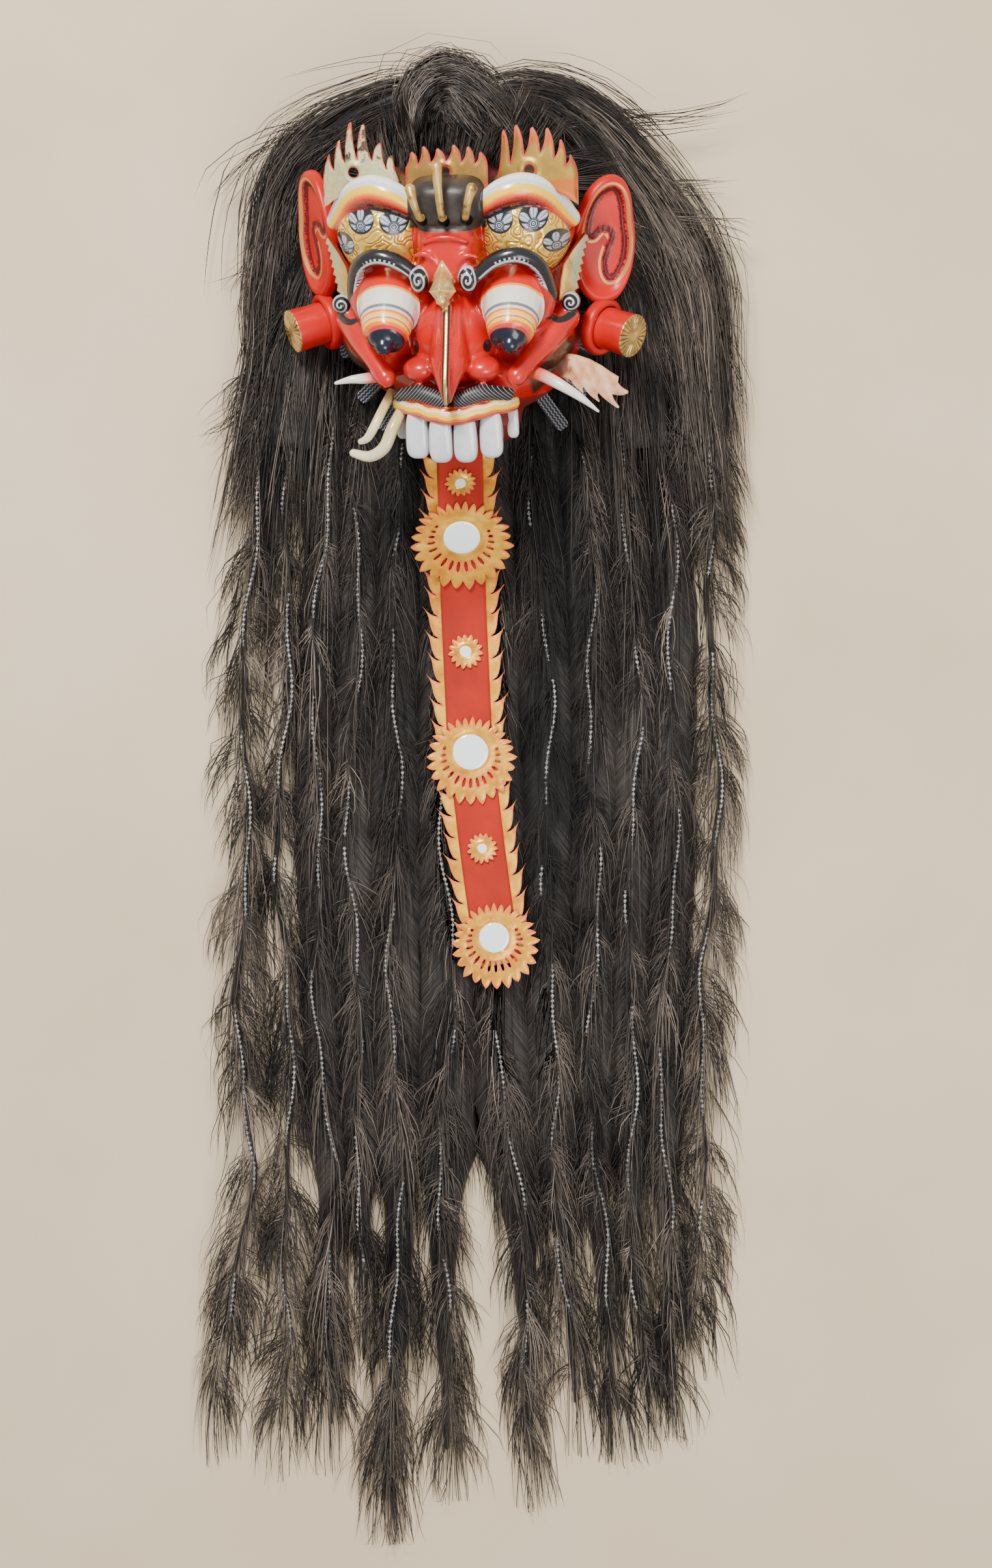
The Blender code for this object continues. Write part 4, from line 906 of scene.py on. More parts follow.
# The crown plates: arch, heights of the lower edge and of the cuts, drop of both ends, flame tips.
CROWNS = {
    "left": (
        (-86, 121), 104, 137, 16, [(-109, 137), (-99, 150), (-88, 166), (-76, 164), (-61, 147), (-51, 135)],
    ),
    "centre": ((-2, 121), 104, 134, 4, [(-32, 139), (-21, 144), (-8, 142), (7, 145), (20, 143), (31, 138)]),
    "right": (
        (75, 121), 104, 140, 16, [(51, 156), (63, 161), (78, 159), (92, 158), (104, 147), (112, 133)],
    ),
}
# Their old gilding: its two shades and shine, how far its edges are worn and how red its tips are.
CROWN_GILDING = {
    "left": ((0.42, 0.42, 0.21), (0.60, 0.58, 0.33), 0.15, -1.7, 0.2),
    "centre": ((0.22, 0.115, 0.022), (0.38, 0.21, 0.045), 0.65, -0.6, 0.75),
    "right": ((0.32, 0.185, 0.030), (0.50, 0.31, 0.065), 0.80, -0.9, 0.75),
}


def crown_material(name):
    graph = Graph("crown_" + name)
    dark, light, metal, wear, tint = CROWN_GILDING[name]
    high, front = graph.attribute("flat_y"), graph.attribute("front")
    worn = (graph.attribute("edge") - graph.noise(120, 4) * 5.0).below(wear, 0.35)
    tips = (high + graph.noise(60, 3) * 26.0).above(158, 5) * tint
    low_edge = high.below(110 if name == "centre" else 112, 4) * tint
    colour = graph.clouds(30, 4, 0.35, 0.65, dark, light)
    reds = (worn, (0.42, 0.045, 0.012)), (tips, (0.62, 0.10, 0.02)), (low_edge, (0.50, 0.10, 0.02))
    for mask, paint in reds:
        colour = graph.mix(mask, colour, paint)
    if name == "left":
        colour = graph.mix(graph.cracks(120).below(0.02, 0.02) * 0.45, colour, (0.16, 0.09, 0.04))
        bare = graph.noise(70, 4).below(0.43, 0.02) * high.above(131, 4)
        colour = graph.mix(bare, colour, (0.075, 0.040, 0.020))
    colour = graph.mix(front, (0.14, 0.07, 0.035), colour)
    normal = graph.bump(graph.noise(260, 3), 0.25, 0.0004)
    return graph.finish(colour=colour, metal=(1.0 - worn) * front * metal, rough=0.42, normal=normal)


def make_crowns():
    for name, (arch, low, high, drop, tips) in CROWNS.items():
        centre = (tips[0][0] + tips[-1][0]) / 2
        gaps = [(a[0] + b[0]) / 2 for a, b in zip(tips, tips[1:])]
        ends = [tips[0][0] - 6] + gaps + [tips[-1][0] + 6]
        half = max(abs(e - centre) for e in ends)
        base = [(e, low - drop * ((e - centre) / half) ** 2) for e in ends]
        valleys = [(e, high - 4 - drop * 1.3 * ((e - centre) / half) ** 2) for e in ends]
        outline = np.vstack([base, flames(valleys, tips, -1.0 if name == "left" else 1.0)[::-1]])
        hole = np.array(arch) + 4.8 * np.column_stack([np.cos(turns(14)), np.sin(turns(14))])
        depth, bow = (94, 0.002) if name == "centre" else (92, 0.006)

        def place(x, y, h, centre=centre, depth=depth, bow=bow):
            z = depth - (x - centre) ** 2 * bow - (y - 100) * math.tan(math.radians(8)) + h
            return to_world(np.column_stack([x, y, z]))

        def relief(points, edge, arch=arch):
            collar = np.exp(-(((np.linalg.norm(points - arch, axis=1) - 8.0) / 1.6) ** 2)) * 1.6
            return np.minimum(edge, 2.5) * 0.35 + collar

        sheet = cut_sheet([outline, hole[::-1]], place, 3.0, 2.0, relief)
        material = crown_material(name)
        sheet_piece("crown_plate_" + name, [sheet], material, "crown_leather", ["crown_flame_" + name])


def make_cheek_flame():
    base = [(84, -53), (98, -52), (111, -53), (123, -56), (134, -61), (142, -66)]
    valleys = [(88, -66), (103, -76), (116, -82), (130, -86), (143, -86), (149, -75)]
    tips = [(101, -79), (115, -88), (130, -95), (149, -99), (159, -84)]
    outline = np.vstack([base, [(150, -70)], flames(valleys, tips, -1.0)[::-1]])

    def place(x, y, h):
        return to_world(np.column_stack([x, y, 66 + (x - 84) * 0.42 + h]))

    def relief(points, edge):
        return np.minimum(edge, 3) * 0.35 + 0.5 * np.sin(points[:, 0] * 0.55 + points[:, 1] * 0.3)

    graph = Graph("worn_flame")
    blot = graph.noise(70, 4)
    stops = [(0.35, (0.62, 0.26, 0.12)), (0.55, (0.80, 0.44, 0.26)), (0.75, (0.86, 0.60, 0.42))]
    colour = graph.ramp(blot, stops)
    # The flame is darker over its part nearest the face.
    inner_dark = (graph.noise(110, 3) * 34.0 + graph.attribute("flat_x")).below(118, 5) * 0.85
    colour = graph.mix(inner_dark, colour, (0.12, 0.028, 0.014))
    material = graph.finish(colour=colour, rough=0.6, normal=graph.bump(blot, 0.5, 0.0008))
    sheet = cut_sheet([outline], place, 3.0, 2.0, relief)
    sheet_piece("cheek_leather_flame", [sheet], material, "cheek_leather", ["cheek_flame_right"])


def make_temple_leaves():
    spine = [(118, 55), (107, 42), (99, 30), (96, 15), (94, -3)]
    outer = np.array([(120, 53), (116, 40), (113, 26), (110, 12), (106, -4)], float)
    teeth = []
    for a, b in zip(outer, outer[1:]):
        for k in range(2):
            upper, lower = a + (b - a) * k / 2, a + (b - a) * (k + 1) / 2
            teeth += [upper, upper + (lower - upper) * 0.75 + [2.8, -0.6]]
    outline = np.vstack([spine, outer[-1:], teeth[::-1]])
    graph = Graph("gilded_leaf")
    colour = graph.clouds(60, 3, 0.35, 0.65, (0.55, 0.33, 0.07), (0.78, 0.52, 0.16))
    wear = (graph.attribute("flat_x") - graph.noise(90, 4) * 12.0).above(99, 2) * 0.7
    colour = graph.mix(wear, colour, (0.48, 0.55, 0.38))
    colour = graph.mix(graph.attribute("edge").below(0.7), colour, (0.40, 0.05, 0.015))
    normal = graph.bump(graph.noise(200, 2), 0.2, 0.0005)
    material = graph.finish(colour=colour, metal=0.6, rough=0.4, normal=normal)
    slope = math.radians(42)

    def relief(points, edge):
        return np.minimum(edge, 4) * 0.3

    for name, side in (("left", -1), ("right", 1)):

        def place(x, y, h, side=side):
            z = 72 - (x - 94) * math.tan(slope) + h * math.cos(slope)
            return to_world(np.column_stack([side * (x + math.sin(slope) * h), y, z]))

        points, faces, fields = cut_sheet([outline], place, 3.0, 1.8, relief)
        sheet = (points, faces[:, ::side], fields)
        sheet_piece("leaf_at_temple_" + name, [sheet], material, "temple_leather", ["temple_leaf_" + name])


# The tongue: its width with the velvet on it, its flames, and its rosettes from the mouth down, each
# as diameter, mirror diameter and how much longer its lower rays are, in metres.
TONGUE_HALF, FLAME_REACH = 0.025, 0.014
LEATHER, VELVET = 0.0025, 0.0012
VELVET_WIDTH = 0.042
ROSETTES = [
    ("small_1", 0.030, 0.010, 0), ("large_1", 0.099, 0.034, 1), ("small_2", 0.034, 0.011, 0),
    ("large_2", 0.088, 0.033, 1), ("small_3", 0.030, 0.009, 0), ("large_3", 0.086, 0.028, 1),
]
ROSETTE_SPACES = (0.0, 0.004, 0.045, 0.043, 0.025, 0.036)
TONGUE_COURSE = ((-0.006, -0.415), (0.000, -0.545), (0.011, -0.636), (0.023, -0.725), (0.036, -0.800))


def tongue_path():
    bed = 0.026 + LEATHER / 2 + 0.001
    corners = [MASK_MM @ Vector((0, -112, 80)), MASK_MM @ Vector((0, -136, 88))]
    corners += [Vector((x, y, bed)) for x, y in TONGUE_COURSE]
    out = [corners[0]]
    for before, corner, after in zip(corners, corners[1:], corners[2:]):
        back, ahead = (before - corner).normalized(), (after - corner).normalized()
        half = back.angle(ahead) / 2
        room = min((before - corner).length, (after - corner).length) * 0.45
        reach = min(0.060 / math.tan(half), room)
        start, end = corner + back * reach, corner + ahead * reach
        for k in range(9):
            t = k / 8
            out.append(start.lerp(corner, t).lerp(corner.lerp(end, t), t))
    return np.array([tuple(p) for p in out + [corners[-1]]])


class Tongue:
    """Places points by distance along the tongue, beside its middle line and above it, in metres."""

    def __init__(self):
        path = tongue_path()
        gaps = np.linalg.norm(np.diff(path, axis=0), axis=1)
        self.path = path[np.concatenate([[True], gaps > 1e-5])]
        self.lengths = run_lengths(self.path)
        self.ahead = unit(np.gradient(self.path, axis=0))

    def read(self, s, columns):
        return np.stack([np.interp(s, self.lengths, column) for column in columns.T], axis=-1)

    def place(self, s, t, h):
        ahead = unit(self.read(s, self.ahead))
        over = np.maximum(s - self.lengths[-1], 0)
        here = self.read(s, self.path) + ahead * over[:, None]
        right = unit(np.cross([0.0, 0.0, 1.0], ahead))
        above = unit(np.cross(ahead, right))
        return here - right * t[:, None] + above * h[:, None]


def ray_reach(radius, angle, uneven):
    return radius * (1 - 0.04 * uneven + 0.19 * uneven * np.cos(angle))


def rosette_stations():
    stations, edge = [], None
    for (_, wide, _, uneven), space in zip(ROSETTES, ROSETTE_SPACES):
        up, down = ray_reach(wide / 2, math.pi, uneven), ray_reach(wide / 2, 0.0, uneven)
        middle = 0.058 if edge is None else edge + space + up
        stations.append(middle)
        edge = middle + down
    return stations


def gilding(name, rough=0.38):
    """Gilded leather with orange-red wear along its cut edges."""
    graph = Graph(name)
    stops = [(0.3, (0.52, 0.18, 0.008)), (0.5, (0.78, 0.36, 0.022)), (0.72, (0.95, 0.56, 0.07))]
    worn = (graph.attribute("edge") - graph.noise(190, 4) * 0.0042).below(-0.0009, 0.0005)
    front = graph.attribute("front")
    colour = graph.mix(worn, graph.ramp(graph.noise(55, 4), stops), (0.72, 0.17, 0.025))
    colour = graph.mix(front, (0.16, 0.08, 0.04), colour)
    normal = graph.bump(graph.noise(240, 3), 0.3, 0.0005)
    return graph.finish(colour=colour, metal=(1.0 - worn) * front * 0.42, rough=rough, normal=normal)


def flame_row(side, start, end, count):
    """One edge of the tongue: S-shaped flames that point up and out, from the mouth down."""
    pitch = (end - start) / count
    line = []
    for i in range(count):
        s = start + i * pitch
        a, b = np.array((s, TONGUE_HALF)), np.array((s + pitch, TONGUE_HALF))
        reach = FLAME_REACH * (0.90 + 0.10 * math.sin(i * 2.3 + side))
        tip = np.array((s - pitch * 0.42, TONGUE_HALF + reach))
        belly = np.array((s + pitch * 0.30, TONGUE_HALF + reach * 0.56))
        line.append(curve(a + [0.0012, -0.001], a + [0.0015, reach * 0.45], tip))
        line.append(curve(tip, tip + [pitch * 0.30, -reach * 0.40], belly))
        line.append(curve(belly, belly + [pitch * 0.50, -reach * 0.10], b + [0.001, 0.0012]))
    return np.vstack(line + [[(end, TONGUE_HALF)]]) * [1, side]


def make_tongue(tongue, stations):
    start, end = 0.034, stations[-1] + ROSETTES[-1][1] * 0.3
    left, right = (flame_row(side, start, end, 24) for side in (-1, 1))
    outline = np.vstack([[(0.0, TONGUE_HALF)], right, left[::-1], [(0.0, -TONGUE_HALF)]])

    def relief(points, edge):
        beside = np.abs(points[:, 1])
        bead = np.exp(-(((beside - 0.0228) / 0.0010) ** 2)) * 0.0007
        return bead + np.clip((beside - TONGUE_HALF) / 0.004, 0, 1) * np.minimum(edge, 0.003) * 0.30

    sheet = cut_sheet([outline], tongue.place, LEATHER, 0.0026, relief)
    sheet_piece("tongue_flames", [sheet], gilding("tongue_gilding"), "tongue_gilding", ["tongue_leather"])
    return end


def make_velvet(tongue, end):
    """The red velvet strip: a closed sheet with a soft swell, a little worn."""
    s = np.concatenate([[0.003], np.arange(0.012, end - 0.010, 0.006), [end - 0.004]])
    t = np.linspace(-VELVET_WIDTH / 2, VELVET_WIDTH / 2, 13)
    flat_s, flat_t = (part.ravel() for part in np.meshgrid(s, t, indexing="ij"))
    count, base = len(flat_s), LEATHER / 2 + 0.0003
    puff = 0.0005 * (1 - (flat_t / (VELVET_WIDTH / 2)) ** 4) + 0.00025 * np.sin(flat_s * 140 + flat_t * 60)
    top = tongue.place(flat_s, flat_t, base + VELVET + puff)
    bottom = tongue.place(flat_s, flat_t, np.full(count, base))
    index = np.arange(count).reshape(len(s), len(t))
    quads = np.stack([index[:-1, :-1], index[:-1, 1:], index[1:, 1:], index[1:, :-1]], axis=-1).reshape(-1, 4)
    ring = np.concatenate([index[0, :-1], index[:-1, -1], index[-1, :0:-1], index[:0:-1, 0]])
    after = np.roll(ring, -1)
    sides = np.column_stack([ring, ring + count, after + count, after])
    faces = np.vstack([quads, quads[:, ::-1] + count, sides])
    graph = Graph("red_velvet")
    colour = graph.clouds(26, 4, 0.3, 0.7, (0.32, 0.009, 0.001), (0.44, 0.015, 0.002))
    material = graph.finish(
        colour=colour, rough=0.85, sheen=0.03, sheen_rough=0.35, sheen_tint=(1.0, 0.40, 0.30),
        normal=graph.bump(graph.noise(900, 2), 0.15, 0.0003),
    )
    velvet = array_mesh("velvet_strip", np.vstack([top, bottom]), faces, material)
    return finish_piece(velvet, "tongue_velvet", ["tongue_velvet"]), float(s[-1] - s[0])


def rosette_loops(wide, mirror, uneven):
    """The outline of a rosette with its pointed rays, and the small cuts round its mirror."""
    rays = 26 if uneven else 15
    radius, line, holes = wide / 2, [], []
    depth = radius * (0.21 if uneven else 0.28)

    def at(distance, angle):
        return np.array((distance * math.cos(angle), distance * math.sin(angle)))

    for k in range(rays):
        a, b = 2 * math.pi * k / rays, 2 * math.pi * (k + 1) / rays
        middle = (a + b) / 2 + (b - a) * 0.13 * math.sin(k * 5.3)
        slim = 0.16 * (b - a)
        low, next_low = ray_reach(radius, a, uneven) - depth, ray_reach(radius, b, uneven) - depth
        tip = at(ray_reach(radius, middle, uneven) * (1 - 0.025 - 0.025 * math.sin(k * 3.7)), middle)
        line.append(curve(at(low, a), at(low + depth * 0.60, a + slim), tip, 3))
        line.append(curve(tip, at(next_low + depth * 0.60, b - slim), at(next_low, b), 3))
        inner, outer = mirror / 2 + radius * 0.13, low - radius * 0.12
        if uneven and outer - inner > 0.0035:
            long, thin = (outer - inner) * 0.36, radius * 0.035
            ahead, aside = at(1.0, middle), at(1.0, middle + math.pi / 2)
            centre = (inner + outer) / 2
            spot = [ahead * (centre + long * math.cos(t)) + aside * thin * math.sin(t) for t in turns(7)]
            holes.append(np.array(spot)[::-1])
    return [np.vstack(line)] + holes


def disc_arrays(radius, height, dome, sides=40, rings=6):
    """A thin disc with a rounded edge, its top raised to a low dome."""
    shares = 0.96 * (1 - np.arange(1, rings) / rings)
    domed = [(share, height + dome * (1 - (share / 0.96) ** 2)) for share in shares]
    profile = [(1.0, 0.0), (1.0, height * 0.75), (0.96, height)] + domed
    cos, sin = np.cos(turns(sides)), np.sin(turns(sides))
    body = [np.column_stack([radius * r * cos, radius * r * sin, np.full(sides, z)]) for r, z in profile]
    points = np.vstack(body + [[(0, 0, 0)], [(0, 0, height + dome)]])
    return points, closed_faces(len(profile), sides)


def make_rosettes(tongue, stations):
    gold = gilding("rosette_gilding", 0.32)
    # The mirrors' near-white colour is painted reflection of the bright room.
    glass = Graph("mirror_painted_reflection").finish(colour=(0.90, 0.96, 1.0), metal=0.05, rough=0.06)
    lift = LEATHER / 2 + VELVET + 0.0006 + 0.00125
    for (name, wide, mirror, uneven), s in zip(ROSETTES, stations):

        def place(x, y, h, s=s):
            return tongue.place(s + x, y, h + lift)

        def relief(points, edge, mirror=mirror):
            past = np.hypot(points[:, 0], points[:, 1]) - mirror / 2
            collar = np.exp(-(((past - 0.0014) / 0.0011) ** 2)) * 0.0011
            return np.minimum(edge, 0.0022) * 0.32 + collar * (past > -0.001)

        loops = rosette_loops(wide, mirror, uneven)
        sheet = cut_sheet(loops, place, 0.0025, 0.0024 if uneven else 0.0016, relief)
        sheet_piece("gilt_rosette_" + name, [sheet], gold, "rosettes", ["rosette_" + name])
        points, faces = disc_arrays(mirror / 2, 0.0015, mirror * 0.02)
        points = place(points[:, 0], points[:, 1], points[:, 2] + 0.00125 + 0.0003)
        disc = array_mesh("mirror_" + name + "_glass", points, faces, glass)
        disc.data.set_sharp_from_angle(angle=math.radians(40))
        finish_piece(disc, "mirrors", ["mirror_" + name])


# Ears, plugs, teeth, tusks and hooks


def joined_rings(rings):
    """Joins equal rings of points and closes both ends."""
    ends = [np.mean(rings[0], axis=0)[None], np.mean(rings[-1], axis=0)[None]]
    return np.vstack([*rings, *ends]), closed_faces(len(rings), len(rings[0]))


def ring_piece(name, rings, material, slot, replaced, fields=None):
    points, faces = joined_rings(rings)
    obj = array_mesh(name, to_world(points), faces, material, fields)
    fix_normals(obj)
    obj.data.set_sharp_from_angle(angle=math.radians(60))
    return finish_piece(obj, slot, replaced)


def fix_normals(obj):
    bm = bmesh.new()
    bm.from_mesh(obj.data)
    bmesh.ops.recalc_face_normals(bm, faces=bm.faces)
    bm.to_mesh(obj.data)
    bm.free()


def make_teeth():
    """Glossy rounded teeth, darkened in the gaps between them as painted shade."""
    graph = Graph("tooth_enamel")
    tint = graph.clouds(40, 3, 0.3, 0.7, (0.52, 0.54, 0.57), (0.70, 0.71, 0.72))
    # Painted shade: the enamel darkens into the gaps between the teeth.
    colour = graph.mix(graph.attribute("gap").below(0.10, 0.10), tint, (0.10, 0.085, 0.08))
    enamel = graph.finish(colour=colour, rough=0.16, coat=0.6, coat_rough=0.05)
    pitch = 21.5 + 1.1
    outer = 2 * pitch + 5.5 + 0.4
    fronts = [(-1.5, -97, 115), (-0.5, -99, 124), (0.5, -99, 124), (1.5, -97, 115)]
    teeth = [
        (f"tooth_{i + 1}", (x * pitch, y, z), 21.5, 42.0, 13.0) for i, (x, y, z) in enumerate(fronts)
    ]
    for name, side in (("left", -1), ("right", 1)):
        teeth.append(("tooth_side_" + name, (side * outer, -98, 92), 11, 28.0, 10.4))
    profile = [
        (0.0, 0.74, 0.74), (0.10, 0.88, 0.90), (0.28, 0.99, 1.0), (0.62, 1.04, 1.0), (0.82, 0.98, 0.92),
        (0.93, 0.80, 0.74), (0.985, 0.52, 0.48), (1.0, 0.28, 0.28),
    ]
    sides = 32
    cos, sin = np.cos(turns(sides)), np.sin(turns(sides))
    box = (np.abs(cos) ** 2.8 + np.abs(sin) ** 2.8) ** (-1 / 2.8)
    for name, place, width, length, thick in teeth:
        rings, gap = [], []
        for down, wide, deep in smooth_path(profile, 4):
            x, z = cos * box * width / 2 * wide, sin * box * thick / 2 * deep
            y = np.full(sides, place[1] - down * length)
            rings.append(np.column_stack([place[0] + x, y, place[2] + z]))
            # How far into the gap between teeth each point lies, for the painted shade there.
            gap.append(1.04 - np.abs(cos * box) * wide + down * 0.06)
        fields = {"gap": np.concatenate(gap + [[0.3], [0.9]])}
        ring_piece(name + "_enamel", rings, enamel, "teeth", [name], fields)


def bar_rings(stations, widths, diameter, sides=20, steps=6):
    """Rings round a smooth bar through the stations, with a rounded tip."""
    packed = smooth_path([(*p, w) for p, w in zip(stations, widths)], steps)
    points, radii = packed[:, :3], packed[:, 3] * diameter / 2
    tip = unit(points[-1] - points[-2]) * radii[-1]
    reach, share = np.array([(0.45, 0.9), (0.8, 0.6), (1.0, 0.25)]).T
    points = np.vstack([points, points[-1] + tip * reach[:, None]])
    radii = np.concatenate([radii, radii[-1] * share])
    cos, sin = np.cos(turns(sides))[:, None], np.sin(turns(sides))[:, None]
    rings = []
    for i, point in enumerate(points):
        ahead = unit(points[min(i + 1, len(points) - 1)] - points[max(i - 1, 0)])
        across = unit(np.cross(ahead, [0.0, 0.0, 1.0]))
        rings.append(point + (across * cos + np.cross(across, ahead) * sin) * radii[i])
    return rings


TUSKS = {
    "tusk_upper_left": (
        [(-64, -66, 96), (-80, -66, 106), (-94, -66, 111), (-108, -69, 111)], [0.95, 0.85, 0.6, 0.25],
    ),
    "tusk_upper_right": (
        [(64, -62, 96), (82, -64, 110), (100, -71, 120), (118, -82, 123), (133, -96, 118)],
        [1.05, 1.0, 0.85, 0.6, 0.2],
    ),
    "tusk_lower_left_outer": (
        [(-47, -93, 99), (-57, -111, 114), (-65, -128, 118), (-79, -137, 115), (-95, -135, 110)],
        [1.0, 1.05, 1.05, 0.95, 0.7],
    ),
    "tusk_lower_left_inner": (
        [(-60, -82, 90), (-67, -96, 108), (-73, -108, 117), (-80, -119, 118), (-87, -123, 115)],
        [0.75, 0.8, 0.8, 0.7, 0.5],
    ),
}


def make_tusks():
    def tusk_material(name, root, body, tip):
        graph = Graph(name)
        cloudy = (graph.noise(45, 3) - 0.5) * 0.16 + graph.attribute("along")
        colour = graph.ramp(cloudy, [(0.22, root), (0.42, body), (0.9, tip)])
        return graph.finish(colour=colour, rough=0.22, coat=0.4)

    upper = tusk_material("painted_tusk", (0.70, 0.10, 0.06), (0.76, 0.68, 0.62), (0.80, 0.78, 0.74))
    lower = tusk_material("ivory_tusk", (0.60, 0.46, 0.20), (0.70, 0.62, 0.34), (0.76, 0.71, 0.52))
    for name, (stations, widths) in TUSKS.items():
        if "upper" in name:
            diameter, material, slot = 12, upper, "upper_tusks"
        else:
            diameter, material, slot = 11, lower, "lower_tusks"
        rings = bar_rings(stations, widths, diameter)
        shares = np.repeat(np.linspace(0, 1, len(rings)), len(rings[0]))
        fields = {"along": np.concatenate([shares, [0, 1]])}
        ring_piece(name + "_carved", rings, material, slot, [name], fields)


def make_hooks():
    graph = Graph("old_gilt_hooks")
    stops = [(0.38, (0.20, 0.10, 0.03)), (0.5, (0.52, 0.33, 0.09)), (0.7, (0.66, 0.46, 0.16))]
    material = graph.finish(colour=graph.ramp(graph.noise(90, 4), stops), metal=0.55, rough=0.42)
    for name, x, spread, share in (("left", -20, -8, 0.7), ("centre", 0, -3, 1.3), ("right", 20, 8, 0.7)):
        length = 34 * share
        stations = [
            (x, 86, 112), (x, 85, 126), (x + spread * 0.2, 89, 133),
            (x + spread * 0.6, 89 + length * 0.55, 137), (x + spread, 89 + length, 132),
        ]
        rings = bar_rings(stations, [0.8, 0.8, 0.9, 1.0, 1.35], 7.5, 14, 5)
        ring_piece("gilt_hook_" + name, rings, material, "hooks", ["forehead_hook_" + name])


# The ear's outline and the contour painted on it, as shares of its width and height.
EAR_WIDTH, EAR_HEIGHT = 60.0, 117.0
EAR_OUTLINE = [
    (0.02, 0.30), (0.00, 0.38), (0.00, 0.56), (0.04, 0.64), (0.14, 0.76), (0.30, 0.90), (0.50, 0.985),
    (0.70, 1.0), (0.86, 0.95), (0.95, 0.84), (0.98, 0.68), (1.0, 0.50), (0.96, 0.32), (0.86, 0.16),
    (0.70, 0.04), (0.50, 0.0), (0.30, 0.02), (0.14, 0.10), (0.05, 0.20),
]
EAR_CONTOUR = [
    (0.17, 0.56), (0.20, 0.68), (0.31, 0.82), (0.46, 0.91), (0.64, 0.945), (0.80, 0.90), (0.88, 0.78),
    (0.90, 0.62), (0.92, 0.46), (0.86, 0.30), (0.72, 0.18), (0.55, 0.15), (0.44, 0.22), (0.42, 0.34),
    (0.50, 0.46), (0.56, 0.53), (0.48, 0.545), (0.38, 0.50), (0.26, 0.50),
]
# How far each ear turns back, and where it is rooted.
EARS = {-1: (math.radians(52), (-112, -9, 34)), 1: (math.radians(26), (103, -15, 34))}
PLUG_RADIUS, PLUG_LENGTH, LOBE_STRAP = 19.5, 43.0, 11.0
LOBE_HOLE = PLUG_RADIUS + 0.6


def ear_material():
    graph = Graph("painted_ear")
    edge, inside = graph.attribute("contour"), graph.attribute("in_contour")
    stroke = (graph.noise(420, 2) - 0.5) * 7.0 + edge
    dark = stroke.above(2.8) * stroke.below(8.0, 1.0) * inside * 0.9
    colour = graph.clouds(24, 4, 0.3, 0.7, (0.44, 0.006, 0.004), (0.58, 0.012, 0.006))
    colour = graph.mix(dark, colour, (0.060, 0.006, 0.010))
    gilt = edge.below(1.25, 0.25)
    colour = graph.mix(gilt, colour, (0.50, 0.28, 0.09))
    return graph.finish(colour=colour, metal=gilt * 0.35, rough=0.36, specular=0.3)


def plug_matrix(side):
    splay = math.radians(30)
    axis = Vector((side * math.cos(splay), -0.16, math.sin(splay))).normalized()
    turn, root = EARS[side]
    across = EAR_WIDTH * 0.46
    lobe = LOBE_HOLE + LOBE_STRAP * 0.6
    middle = Vector(root) + Vector((side * math.cos(turn) * across, 0, -math.sin(turn) * across))
    middle += Vector((0, LOBE_STRAP * 0.4 - lobe, 4.0))
    turned = axis.to_track_quat("Z", "Y").to_matrix().to_4x4()
    return Matrix.Translation(middle - axis * LOBE_STRAP / 2) @ turned


def make_ear(name, side, material):
    """The ear with its painted contour, and its lobe as a loop round the plug."""
    turn, root = EARS[side]
    outline = smooth_path(EAR_OUTLINE, 6, closed=True)
    contour = smooth_path(EAR_CONTOUR, 5, closed=True) * [EAR_WIDTH, EAR_HEIGHT]
    centre = np.array([0.52, 0.48])
    levels = [
        (0.90, 0.0), (1.0, 0.6), (1.0, 7.0), (0.955, 10.2), (0.90, 11.0), (0.84, 10.2),
        (0.76, 7.2), (0.68, 6.0), (0.55, 5.8), (0.40, 5.9), (0.22, 6.0), (0.08, 6.0),
    ]
    rings, edges, insides = [], [], []
    for share, height in smooth_path(levels, 3):
        flat = (centre + (outline - centre) * share) * [EAR_WIDTH, EAR_HEIGHT]
        edge, inside = loop_distance(flat, [contour])
        groove = np.exp(-(((edge - 5.0) / 1.6) ** 2)) * inside * (share < 0.8)
        rings.append(np.column_stack([side * flat[:, 0], flat[:, 1], height - groove * 1.1]))
        edges.append(edge if height > 5.0 else np.full(len(flat), 50.0))
        insides.append(inside * 1.0)
    points, faces = joined_rings(rings)
    points = moved(points, Matrix.Translation(Vector(root)) @ Matrix.Rotation(side * turn, 4, "Y"))
    outer, sides = LOBE_HOLE + LOBE_STRAP * 0.6, 48
    section = [
        (LOBE_HOLE, 1.0), (LOBE_HOLE + 1.0, 0.0), (outer - 1.5, 0.0), (outer, 2.0), (outer, LOBE_STRAP - 2.0),
        (outer - 1.5, LOBE_STRAP), (LOBE_HOLE + 1.0, LOBE_STRAP), (LOBE_HOLE, LOBE_STRAP - 1.0),
    ]
    cos, sin = np.cos(turns(sides)), np.sin(turns(sides))
    lobe = np.vstack([np.column_stack([r * cos, r * sin, np.full(sides, h)]) for r, h in section])
    lobe_faces = wall_faces(len(section) + 1, sides) % len(lobe)
    faces = np.vstack([faces, lobe_faces + len(points)])
    points = np.vstack([points, moved(lobe, plug_matrix(side))])
    fields = {
        "contour": np.concatenate([*edges, [50.0, 20.0], np.full(len(lobe), 50.0)]),
        "in_contour": np.concatenate([*insides, [0.0, 0.0], np.zeros(len(lobe))]),
    }
    obj = array_mesh(name + "_carved", to_world(points), faces, material, fields)
    fix_normals(obj)
    finish_piece(obj, "ears", [name])


